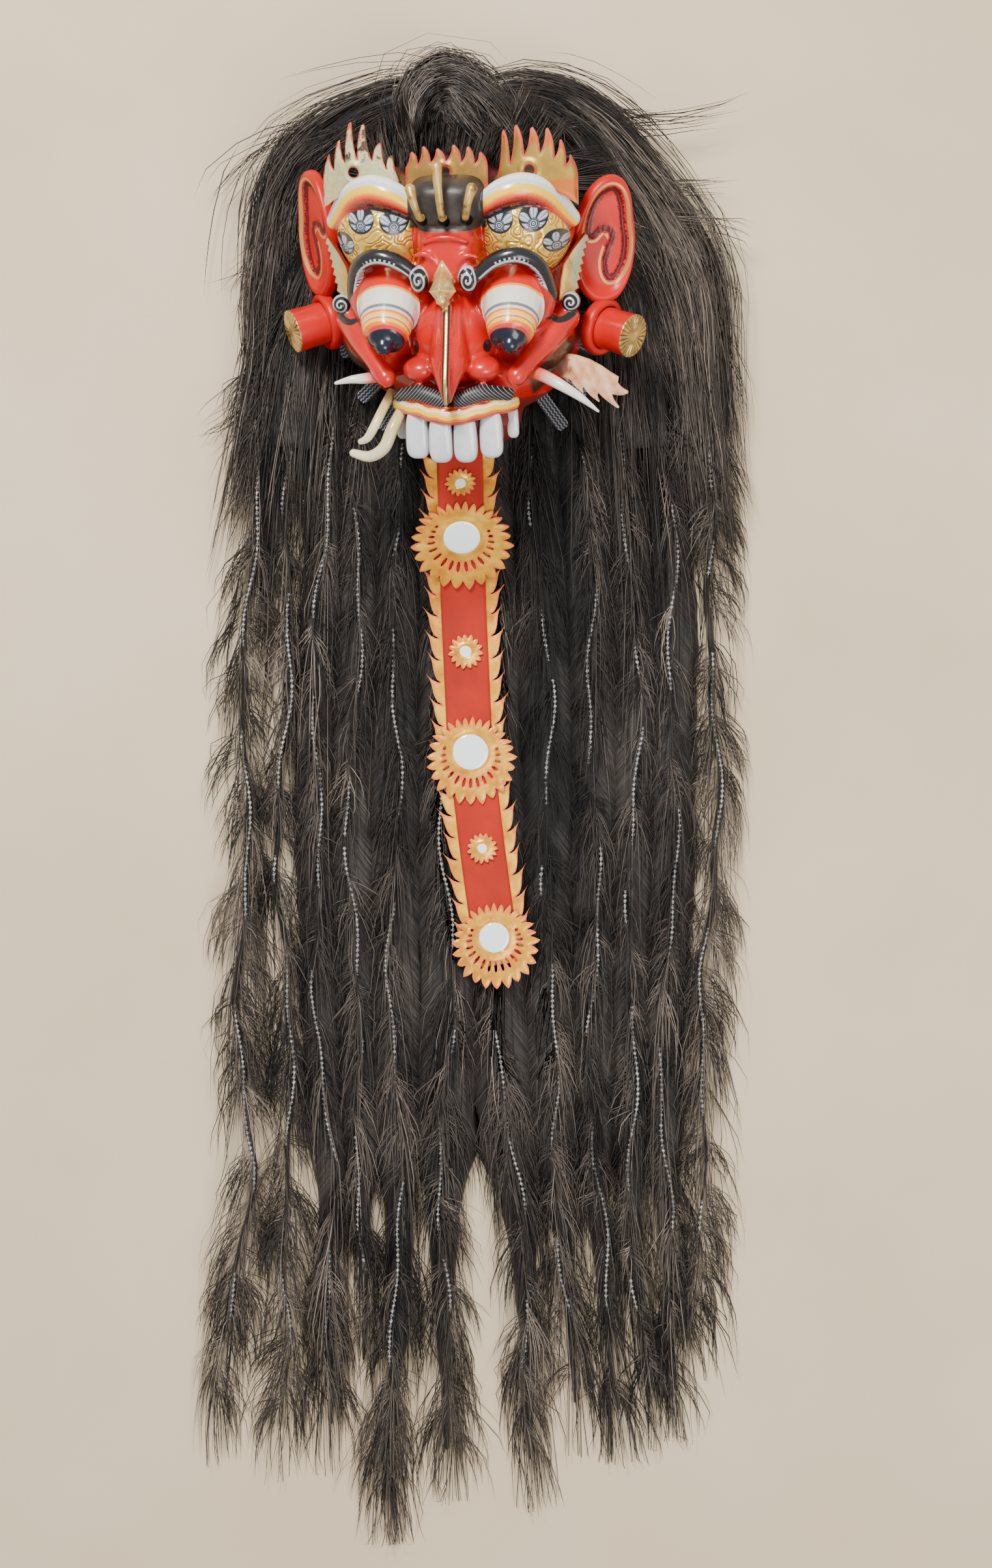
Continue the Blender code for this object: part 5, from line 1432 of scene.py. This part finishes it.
def make_plug(name, side):
    """A round plug, red with a gilded end cut in a fan of grooves, the gilding darkened in the grooves as
    painted shade.
    """
    graph = Graph("painted_" + name)
    end, ray = graph.attribute("end"), graph.attribute("ray")
    red = graph.clouds(24, 4, 0.3, 0.7, *RED_SHADES)
    gilt = graph.clouds(110, 4, 0.35, 0.65, (0.36, 0.20, 0.05), (0.66, 0.45, 0.15))
    # Painted shade: the gilding darkened in the grooves.
    gilt = graph.mix(ray.below(0.30, 0.2) * 0.8, gilt, (0.14, 0.07, 0.02))
    material = graph.finish(colour=graph.mix(end, red, gilt), metal=end * 0.7, rough=0.32, coat=0.25)
    sides = 96
    cos, sin = np.cos(turns(sides)), np.sin(turns(sides))
    groove = np.abs(np.cos(turns(sides) * 12))
    profile = [
        (0.90, -6.0, 0), (0.97, -5.4, 0), (0.97, 0.0, 0), (1.0, 14.0, 0), (1.0, 24.0, 0), (1.03, 36.0, 0),
        (1.04, 40.0, 0), (1.04, 41.2, 1), (1.01, 42.0, 1), (0.9, 42.2, 1), (0.7, 42.5, 1), (0.45, 42.8, 1),
        (0.2, PLUG_LENGTH, 1), (0.12, PLUG_LENGTH, 1),
    ]
    rings, rays = [], []
    for share, height, gold in profile:
        radius = PLUG_RADIUS * share
        cut = (1 - groove) * 1.3 * gold * (0.2 < share < 1.02)
        rings.append(moved(np.column_stack([radius * cos, radius * sin, height - cut]), plug_matrix(side)))
        rays.append(groove if share > 0.2 else np.ones(sides))
    golds = np.repeat([float(gold) for _, _, gold in profile], sides)
    fields = {"end": np.concatenate([golds, [0.0, 1.0]]), "ray": np.concatenate([*rays, [1.0, 1.0]])}
    ring_piece(name + "_carved", rings, material, "ear_plugs", [name], fields)


def make_beards():
    """Black leather tabs with pale wavy lines along them."""
    graph = Graph("beard_leather")
    sway = (graph.attribute("flat_y") * 1.6).math("SINE") * 0.9
    wave = (sway + graph.attribute("flat_x") * 1.9).math("SINE")
    lines = wave.above(0.62, 0.2) * graph.attribute("front")
    material = graph.finish(colour=graph.mix(lines, (0.010, 0.010, 0.012), (0.24, 0.26, 0.29)), rough=0.5)
    for name, side in (("left", -1), ("right", 1)):
        sheets = []
        for degrees, reach in ((-12, 31), (-24, 30), (-43, 34), (-56, 37)):
            angle = math.radians(degrees)
            radius = 100 * 128 / math.hypot(128 * math.cos(angle), 100 * math.sin(angle))
            out = np.array([math.cos(angle), math.sin(angle)])
            loop = [(-6.5, -6), (6.5, -6), (6.2, reach - 3), (4.0, reach), (-4.0, reach), (-6.2, reach - 3)]

            def place(x, y, h, out=out, radius=radius):
                flat = out * (radius + y)[:, None] + np.array([out[1], -out[0]]) * x[:, None]
                return to_world(np.column_stack([side * flat[:, 0], flat[:, 1] - 12, -1.55 + h]))

            sheets.append(cut_sheet([np.array(loop, float)], place, 2.0, 2.0))
        sheet_piece("beard_tabs_" + name, sheets, material, "beard_leather", ["beard_" + name])


# Hair


def strand_arrays(paths, widths, flat=0.6):
    """Thin three-sided strands along paths of shape (strands, stations, 3), pointed at both ends."""
    count, stations = paths.shape[:2]
    ahead = unit(np.gradient(paths, axis=1))
    across = unit(np.cross(ahead, [0.0, 0.0, 1.0]))
    over = np.cross(across, ahead)
    taper = 1 - 0.5 * np.linspace(0.0, 1.0, stations) ** 2
    half = widths[:, None, None] * taper[None, :, None] / 2
    rings = []
    for k in range(3):
        angle = math.radians(90 + 120 * k)
        rings.append(paths + (across * math.cos(angle) + over * math.sin(angle) * flat) * half)
    body = np.stack(rings, axis=2)[:, 1:-1].reshape(count, -1, 3)
    points = np.concatenate([paths[:, :1], body, paths[:, -1:]], axis=1)
    end = points.shape[1] - 1
    faces = [(0, 1 + k, 1 + (k + 1) % 3) for k in range(3)]
    for j in range(stations - 3):
        for k in range(3):
            a, b = 1 + 3 * j + k, 1 + 3 * j + (k + 1) % 3
            faces += [(a, b + 3, b), (a, a + 3, b + 3)]
    faces += [(end - 3 + k, end, end - 3 + (k + 1) % 3) for k in range(3)]
    faces = np.array(faces)[None] + np.arange(count)[:, None, None] * points.shape[1]
    return points.reshape(-1, 3), faces.reshape(-1, 3), points.shape[1]


def add_waves(paths, amount, along=2.2):
    """Bends each strand to and fro by about amount, more towards its end."""
    count, stations = paths.shape[:2]
    t = np.linspace(0, 1, stations)[None, :]
    for axis, share in ((0, 1.0), (1, 0.35), (2, 0.5)):
        size = random.normal(0, amount * share, count)[:, None]
        phase = random.uniform(0, 2 * np.pi, count)[:, None]
        pace = random.uniform(0.6, 1.4, count)[:, None] * along * 2
        paths[:, :, axis] += size * (np.sin(phase + pace * t) - np.sin(phase)) * t ** 0.6


def tube_arrays(points, widths, heights, sides=10, floor=None, slope=0.0):
    """A closed bar along points, with its own half width and half height at each.

    Also gives the two coordinates of its hair lines: across them and along them. They leave the
    middle at a slope."""
    ahead = unit(np.gradient(points, axis=0))
    across = unit(np.cross(ahead, [0.0, 0.0, 1.0]))
    over = np.cross(across, ahead)
    aside = np.cos(turns(sides))[None] * widths[:, None]
    raised = np.sin(turns(sides))[None] * heights[:, None]
    ring = across[:, None] * aside[..., None] + over[:, None] * raised[..., None]
    body = (points[:, None] + ring).reshape(-1, 3)
    if floor is not None:
        body[:, 2] = np.maximum(body[:, 2], floor)
    body = np.vstack([body, points[:1], points[-1:]])
    lengths = np.repeat(run_lengths(points), sides)
    aside = aside.ravel()
    if slope:
        flow = np.column_stack([lengths - np.abs(aside) * slope, aside])
    else:
        flow = np.column_stack([aside + 0.004 * np.sin(lengths * 30), lengths])
    return body, closed_faces(len(points), sides), np.vstack([flow, flow[:1], flow[-1:]])


class Mass:
    """Collects arrays with a tone for each point, for one mesh."""

    def __init__(self):
        self.points, self.faces, self.tones, self.cores, self.flows = [], [], [], [], []
        self.count = 0

    def add(self, points, faces, tone, core=0.0, flow=None):
        points = hold_in(points)
        # Painted shade: hair beside the tongue is made darker.
        if not core:
            tone = tone * (1 - 0.6 * in_shade(points))
        self.points.append(points)
        self.faces.append(faces + self.count)
        self.tones.append(np.broadcast_to(tone, len(points)))
        self.cores.append(np.full(len(points), core))
        self.flows.append(np.zeros((len(points), 2)) if flow is None else flow)
        self.count += len(points)

    def add_tube(self, tube, tone):
        points, faces, flow = tube
        self.add(points, faces, tone, flow=flow)

    def add_strands(self, paths, widths, tones):
        """Adds strands, held above the floor and, beside the tongue, below its leather."""
        points, faces, each = strand_arrays(paths, widths)
        course = np.array(TONGUE_COURSE)[::-1]
        beside = np.abs(points[:, 0] - np.interp(points[:, 1], course[:, 1], course[:, 0]))
        under = (beside < 0.046) & (points[:, 1] < -0.34) & (points[:, 1] > -0.86)
        points[:, 2] = np.where(under, np.minimum(points[:, 2], 0.0245), np.maximum(points[:, 2], 0.0004))
        self.add(points, faces, np.repeat(tones, each))

    def piece(self, name, material, replaced):
        flow = np.vstack(self.flows)
        fields = {"tone": np.concatenate(self.tones), "core": np.concatenate(self.cores)}
        fields.update(flow_u=flow[:, 0], flow_v=flow[:, 1])
        obj = array_mesh(name, np.vstack(self.points), np.vstack(self.faces), material, fields)
        finish_piece(obj, "hair", replaced)


def in_shade(points):
    """Painted shade on the hair beside the tongue, from 0 to 1."""
    x, y = points[:, 0], points[:, 1]
    across = np.exp(-(((x - 0.075) / 0.034) ** 2)) + 0.5 * np.exp(-(((x + 0.062) / 0.030) ** 2))
    return np.clip(across, 0, 1) * np.clip((y + 0.76) / 0.12, 0, 1) * np.clip((-0.10 - y) / 0.08, 0, 1)


def hold_in(points):
    """Draws the ends of flyaway strands back to near the mask's own bounds."""
    low, high = np.array(cad_box[0]), np.array(cad_box[1])
    slack = np.array([0.021, 0.045, 0.013])
    over, under = np.maximum(points - high, 0), np.maximum(low - points, 0)
    held = points - over + slack * (1 - np.exp(-over / slack)) + under - slack * (1 - np.exp(-under / slack))
    held[:, 2] = np.where(points[:, 2] < low[2], np.maximum(points[:, 2], 0.0002), held[:, 2])
    return held


def hair_material():
    graph = Graph("dark_hair")
    across, along = graph.attribute("flow_u") * 520.0, graph.attribute("flow_v") * 36.0
    flow = graph.result(graph.node("ShaderNodeCombineXYZ"), {0: across, 1: along})
    streak = graph.noise(1.0, 3, 0.7, vector=flow)
    shade = (graph.noise(9.0, 2) - 0.5) * 0.45 + graph.attribute("tone")
    shade = (streak - 0.5) * 1.3 + shade
    stops = [
        (0.0, (0.004, 0.0038, 0.004)), (0.25, (0.016, 0.014, 0.013)), (0.5, (0.058, 0.048, 0.041)),
        (0.8, (0.175, 0.140, 0.114)), (1.0, (0.36, 0.29, 0.235)),
    ]
    core = graph.attribute("core")
    pale = graph.clouds(420, 2, 0.36, 0.64, (0.07, 0.066, 0.062), (0.52, 0.51, 0.49))
    return graph.finish(
        colour=graph.mix(core, graph.ramp(shade, stops), pale), rough=graph.blend(core, 0.5, 0.85),
        specular=0.35, normal=graph.bump(streak, 0.9, 0.0012),
    )


def lock_rows(node):
    """The middle line, half width and height of a long lock's solid, from its root to its tip."""
    vertices = np.array([v.co for v in node.data.vertices])
    rows = []
    for y in sorted({round(v, 4) for v in vertices[:, 1]}, reverse=True):
        row = vertices[abs(vertices[:, 1] - y) < 0.0002]
        low, high = row[:, 0].min(), row[:, 0].max()
        rows.append(((low + high) / 2, y, (high - low) / 2, row[:, 2].max()))
    return np.array(rows)


def lock_at(rows, y):
    """Middle x, half width and height of a lock at each y."""
    order = rows[::-1]
    return tuple(np.interp(y, order[:, 1], order[:, k]) for k in (0, 2, 3))


def core_sway(rows, y):
    """How far a lock's core lies beside its middle."""
    turn = rows[0, 0] * 90
    return 0.0055 * np.sin(y * 19 + turn) + 0.0024 * np.sin(y * 53 + 2 * turn)


def tuft_strands(rows, count, each, reach, drop):
    """Feathered tufts down both sides of a lock's core, each strand bent out and down."""
    first, last = rows[0, 1], rows[-1, 1]
    tufts = random.uniform(0, 1, count) ** 0.92
    y = first + 0.004 - tufts * (first - last - 0.035)
    side = np.where(random.uniform(size=count) < 0.5, -1.0, 1.0)
    out = random.uniform(*reach, count)
    down = random.uniform(*drop, count)
    level = random.uniform(0.0, 1.0, count)
    # Higher tufts get a lighter tone: painted light on top of the lock, painted shade lower down.
    tone = 0.28 + 0.34 * level + random.normal(0, 0.15, count)
    pick = np.repeat(np.arange(count), each)
    total = len(pick)
    y0 = y[pick] + random.normal(0, 0.0050, total)
    out = out[pick] * random.uniform(0.6, 1.25, total) + random.normal(0, 0.002, total)
    down = down[pick] * random.uniform(0.6, 1.3, total)
    stray = random.uniform(size=total) < 0.10
    out = np.where(stray, out * random.uniform(0.2, 1.6, total), out)
    down = np.where(stray, down * random.uniform(0.8, 1.7, total), down)
    long = random.uniform(size=total) < 0.16
    out = np.where(long, out * random.uniform(-0.7, 0.8, total), out)
    down = np.where(long, down * random.uniform(1.5, 2.4, total), down)
    # Strays stand out from the lock and are a little lighter: painted light.
    tone = tone[pick] + random.normal(0, 0.10, total) + np.where(stray, 0.12, 0.0)
    sideways = np.array([0.0, 0.40, 0.72, 0.93, 1.0])
    downwards = np.array([0.0, 0.13, 0.36, 0.66, 1.0])
    paths = np.empty((total, 5, 3))
    for k in range(5):
        here = np.maximum(y0 - down * downwards[k], last - 0.030)
        middle, half, height = lock_at(rows, here)
        lateral = core_sway(rows, y0) * (1 - 0.6 * k / 4) + side[pick] * out * sideways[k]
        fall = np.clip(1.06 - 0.75 * (np.abs(lateral) / np.maximum(half, 0.006)) ** 2, 0.12, 1.06)
        lift = 0.66 + 0.50 * level[pick] * (1 - 0.25 * k / 4)
        paths[:, k, 0] = middle + lateral
        paths[:, k, 1] = here
        paths[:, k, 2] = height * fall * lift + 0.0008
    add_waves(paths, 0.0050)
    widths = random.uniform(0.0005, 0.0012, total)
    return paths, widths, np.clip(tone, 0, 1)


def twisted_core(rows, start, end):
    """The pale cord of two plies that runs down a lock, where the tufts leave it bare."""
    pitch, stations, sides = 0.0095, 6, 4
    turn = rows[0, 0] * 90
    y = np.arange(start, end, -pitch / stations)
    bare = np.sin(y * 23 + 3 * turn) + 0.7 * np.sin(y * 51 + 5 * turn) > -0.42
    edges = np.flatnonzero(np.diff(np.concatenate([[0], bare.astype(int), [0]])))
    middle, _, height = lock_at(rows, y)
    path = np.column_stack([middle + core_sway(rows, y), y, height * 1.02 + 0.0010 * np.sin(y * 61 + turn)])
    angle = (np.arange(len(y)) * 2 * np.pi / stations)[:, None] + turns(sides)[None]
    radius = np.where(np.arange(sides) % 2 == 0, 0.0019, 0.0006)
    points, faces, count = [], [], 0
    for low, high in zip(edges[::2], edges[1::2]):
        size = high - low
        if size < 12:
            continue
        run = path[low:high].copy()
        ends = np.minimum(np.arange(size), np.arange(size)[::-1])
        run[:, 2] -= 0.006 * np.clip(1 - ends / 8, 0, 1) ** 1.5
        body = np.repeat(run, sides, axis=0)
        body[:, 0] += (np.cos(angle[low:high]) * radius).ravel()
        body[:, 2] += (np.sin(angle[low:high]) * radius).ravel()
        last = (size - 1) * sides
        caps = [(0, 2, 1), (0, 3, 2), (last, last + 1, last + 2), (last, last + 2, last + 3)]
        points.append(body)
        faces += [wall_faces(size, sides) + count, np.array(caps) + count]
        count += len(body)
    return np.vstack(points), np.vstack(faces)


def filled_half(every, i, y, middle, half):
    """The half width of a lock's bed, wide enough to meet the beds beside it down to the forks."""
    beside = [lock_at(every[k], y)[0] for k in (i - 1, i + 1) if k in every]
    space = np.mean([np.abs(other - middle) for other in beside], axis=0)
    meet = np.clip((y + 1.02) / 0.10, 0, 1)
    return np.maximum(half, meet * np.minimum(space * 0.60, half + 0.012))


def make_locks(material):
    nodes = {i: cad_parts[f"hair_lock_{i:02d}"] for i in range(1, 13)}
    every = {i: lock_rows(node) for i, node in nodes.items()}
    for i, rows in every.items():
        mass = Mass()
        first, last = rows[0, 1], rows[-1, 1]
        share = (first - last) / 1.1
        y = np.linspace(first, last + 0.02, 90)
        middle, half, height = lock_at(rows, y)
        thin = np.clip((y - last) / 0.35, 0.25, 1.0)
        if i in (1, 2, 12):
            # The outer locks are sparse, so the floor shows through them.
            wide, high = half * 0.16 * thin, height * 0.18
            line = np.column_stack([middle + core_sway(rows, y), y, height * 0.28])
            tufts = int(134 * share), 13, (0.013, 0.034), (0.028, 0.085)
        else:
            ripple = 1 + 0.08 * np.sin(y * 90 + i) * np.sin(y * 37)
            wide = filled_half(every, i, y, middle, half * thin) * ripple
            high = height * 0.64
            line = np.column_stack([middle, y, np.full_like(y, 0.0006)])
            tufts = int(118 * share), 15, (0.010, 0.030), (0.035, 0.105)
        # The bed is a little darker than the strands: painted shade deep in the lock.
        mass.add_tube(tube_arrays(line, wide, high, 12, 0.0004, 1.4), 0.34)
        mass.add_strands(*tuft_strands(rows, *tufts))
        start = first - 0.02 if abs(rows[0, 0]) > 0.11 else -0.26
        mass.add(*twisted_core(rows, start, last + 0.10), 0.5, 1.0)
        mass.piece(f"lock_strands_{i:02d}", material, [nodes[i].name])


# Middle lines of the hair at the top in mask millimetres from the mask's middle, each with half its
# width. The last station runs on past the solid into the locks below.
SWEEPS = {
    "left": [
        (-8, 166, 76, 15), (-50, 168, 68, 24), (-95, 152, 54, 28), (-134, 123, 38, 36), (-158, 88, 30, 36),
        (-169, 45, 26, 32), (-175, 0, 24, 28), (-179, -45, 22, 24), (-184, -90, 20, 21), (-192, -140, 18, 20),
    ],
    "right": [
        (8, 170, 84, 16), (50, 171, 78, 25), (88, 157, 66, 29), (117, 131, 54, 32), (141, 98, 44, 35),
        (166, 62, 36, 35), (189, 20, 30, 34), (204, -30, 26, 29), (212, -87, 22, 22), (219, -150, 18, 20),
    ],
    "centre": [
        (-48, 131, 128, 14), (-50, 157, 126, 19), (-36, 179, 122, 21), (-13, 184, 121, 19), (6, 167, 124, 17),
        (16, 147, 127, 15), (22, 131, 130, 12),
    ],
}
# The hair that falls forward from the knot, in the same way.
CURTAIN = [
    (-34, 172, 127, 13), (-16, 176, 131, 16), (0, 164, 135, 18), (13, 148, 137, 17), (26, 130, 133, 13),
]


def sweep_line(stations):
    line = smooth_path(stations, 6)
    line[:, :3] = line[:, :3] * MM + [0, FACE_BACK, 0]
    line[:, 3] *= MM
    return line


def along_line(line, share):
    """Place and half width at shares of a line, as arrays."""
    at = np.clip(share, 0, 1) * (len(line) - 1)
    return np.stack([np.interp(at, np.arange(len(line)), line[:, k]) for k in range(4)], axis=-1)


def line_strands(
    line, count, length, spread=1.0, stations=6, tuft=14, flat=0.6, starts=(0.0, 0.85), swing=0.18,
    waves=0.0042,
):
    """Long strands that follow a line in tufts, and drift a little outward."""
    tufts = max(count // tuft, 1)
    begin = random.uniform(*starts, tufts) ** 1.1
    angle = random.uniform(0, 2 * np.pi, tufts)
    radius = np.sqrt(random.uniform(0.15, 1.0, tufts)) * spread
    reach = random.uniform(*length, tufts)
    # Strands lying higher on the line get a lighter tone: painted light on top, painted shade underneath.
    tone = 0.36 + 0.20 * np.sin(angle) * radius + random.normal(0, 0.15, tufts)
    pick = np.repeat(np.arange(tufts), tuft)
    total = len(pick)
    begin = begin[pick] + random.normal(0, 0.012, total)
    reach = reach[pick] * random.uniform(0.8, 1.15, total)
    stray = random.uniform(size=total) < 0.10
    u = np.cos(angle)[pick] * radius[pick] + random.normal(0, 0.07, total)
    v = np.sin(angle)[pick] * radius[pick] + random.normal(0, 0.07, total)
    u = np.where(stray, u * 1.32, u)
    aside = random.normal(0, swing, tufts)[pick] + random.normal(0, swing / 3, total)
    centre = along_line(line, np.linspace(0, 1, 200))[:, :3]
    ahead_all = unit(np.gradient(centre, axis=0))
    across_all = unit(np.cross(ahead_all, [0.0, 0.0, 1.0]))
    paths = np.empty((total, stations, 3))
    for k in range(stations):
        t = k / (stations - 1)
        share = np.clip(begin + reach * t, 0, 1)
        beyond = begin + reach * t - share
        here = along_line(line, share)
        index = np.minimum((share * 199).astype(int), 199)
        across, ahead = across_all[index], ahead_all[index]
        lateral = (u + aside * t) * (1 + 0.15 * t) * here[:, 3]
        paths[:, k] = here[:, :3] + across * lateral[:, None] + ahead * (beyond * 0.5)[:, None]
        paths[:, k, 2] += v * here[:, 3] * flat * (1 - 0.2 * t)
    add_waves(paths, waves)
    widths = random.uniform(0.0006, 0.0012, total)
    return paths, widths, np.clip(tone[pick] + random.normal(0, 0.1, total), 0, 1)


def make_sweeps(material):
    counts = {"left": 2000, "right": 2150, "centre": 760}
    for name, count in counts.items():
        line = sweep_line(SWEEPS[name])
        mass = Mass()
        side = name != "centre"
        base = line[:-6] if side else line
        ends = np.clip(np.minimum(np.arange(len(base)), np.arange(len(base))[::-1]) / 4, 0.25, 1)
        wide = base[:, 3] * (0.66 if side else 0.45) * ends
        # The base is darker than the strands: painted shade deep in the sweep.
        mass.add_tube(tube_arrays(base[:, :3], wide, base[:, 3] * 0.26 * ends, 12, 0.0006), 0.26)
        lengths = (0.25, 0.50) if side else (0.35, 0.8)
        starts = (0.0, 0.80) if side else (0.0, 0.6)
        mass.add_strands(*line_strands(line, count, lengths, 1.08, starts=starts))
        mass.add_strands(*line_strands(line, count // 11, lengths, 1.55, tuft=3, starts=starts, waves=0.006))
        if side:
            loose = {"starts": (0.20, 1.0), "swing": 0.75, "waves": 0.007}
            mass.add_strands(*line_strands(line, 980, (0.09, 0.20), 1.0, 5, 11, **loose))
        else:
            mass.add_strands(*line_strands(sweep_line(CURTAIN), 560, (0.5, 0.9), 1.1, starts=(0.0, 0.4)))
        mass.piece("hair_sweep_" + name, material, ["hair_top_" + name])


def make_cap_hair(material):
    """Short hair rooted behind the face's upper edge, drawn out into the sweeps and down behind the ears."""
    mass = Mass()
    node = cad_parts["hair_cap"]
    mesh = node.data
    mesh.calc_loop_triangles()
    points = np.array([v.co for v in mesh.vertices])
    faces = np.array([t.vertices for t in mesh.loop_triangles])
    turn = np.arctan2(points[:, 0], points[:, 1] - FACE_BACK - 0.014)
    flow = np.column_stack([turn * 0.13, points[:, 2] + np.hypot(points[:, 0], points[:, 1] - FACE_BACK)])
    # The cap's own mesh is darker than the strands: painted shade under the hair.
    mass.add(points, faces, 0.30, flow=flow)

    def fan(count, spread, starts, reach, lift, stations=5, tone=0.36):
        tufts = count // 14
        turn = np.radians(random.uniform(*spread, tufts))
        pick = np.repeat(np.arange(tufts), 14)
        turn = turn[pick] + random.normal(0, 0.03, len(pick))
        start = random.uniform(*starts, tufts)[pick] + random.normal(0, 1.5, len(pick))
        length = random.uniform(*reach, tufts)[pick] * random.uniform(0.8, 1.15, len(pick))
        top = random.uniform(*lift, tufts)[pick] + random.normal(0, 2.0, len(pick))
        top = np.where(np.abs(turn) > math.radians(38), np.minimum(top, 4), top)
        curl = np.sin(turn) * random.uniform(0.2, 0.6, tufts)[pick]
        local = np.empty((len(pick), stations, 3))
        for k in range(stations):
            t = k / (stations - 1)
            angle = turn + curl * t * (np.abs(turn) > math.radians(38))
            radius_x, radius_y = 101 + start + length * t, 106 + start + length * t
            local[:, k, 0] = radius_x * np.sin(angle)
            local[:, k, 1] = 14 + radius_y * np.cos(angle)
            local[:, k, 2] = top * (1 - t) ** 0.7 - 34 * t * t
        paths = to_world(local.reshape(-1, 3)).reshape(local.shape)
        add_waves(paths, 0.0028)
        shades = np.clip(random.normal(tone, 0.14, tufts)[pick] + random.normal(0, 0.1, len(pick)), 0, 1)
        mass.add_strands(paths, random.uniform(0.0006, 0.0012, len(pick)), shades)

    fan(1800, (-60, 60), (-8, 18), (26, 58), (4, 60))
    fan(900, (-88, 88), (10, 30), (18, 48), (-12, 0))
    for side in (-1, 1):
        stations = [
            (side * 0.112, FACE_BACK + 0.060, 0.072, 0.016), (side * 0.138, FACE_BACK + 0.022, 0.046, 0.026),
            (side * 0.152, FACE_BACK - 0.030, 0.034, 0.030), (side * 0.160, FACE_BACK - 0.090, 0.030, 0.028),
            (side * 0.165, FACE_BACK - 0.150, 0.026, 0.026),
        ]
        line = smooth_path(stations, 6)
        # The beds behind the ears are darker than the strands: painted shade under the hair.
        mass.add_tube(tube_arrays(line[:, :3], line[:, 3] * 0.85, line[:, 3] * 0.25, 10, 0.0006), 0.26)
        mass.add_strands(*line_strands(line, 620, (0.4, 0.9), 1.1, stations=5, flat=0.45))
        mass.add_strands(*line_strands(line, 420, (0.2, 0.45), 1.0, 5, 11, 0.45, (0.1, 0.9), 0.55, 0.006))
    mass.piece("hair_cap_strands", material, ["hair_cap"])


# Build


set_camera()
set_stage()
make_face()
make_teeth()
make_tusks()
make_hooks()
painted_ear = ear_material()
for side, name in ((-1, "left"), (1, "right")):
    make_ear("ear_" + name, side, painted_ear)
    make_plug("ear_plug_" + name, side)
make_crowns()
make_beards()
make_cheek_flame()
make_temple_leaves()
tongue = Tongue()
stations = rosette_stations()
velvet, velvet_length = make_velvet(tongue, make_tongue(tongue, stations))
make_rosettes(tongue, stations)
hair = hair_material()
make_locks(hair)
make_sweeps(hair)
make_cap_hair(hair)
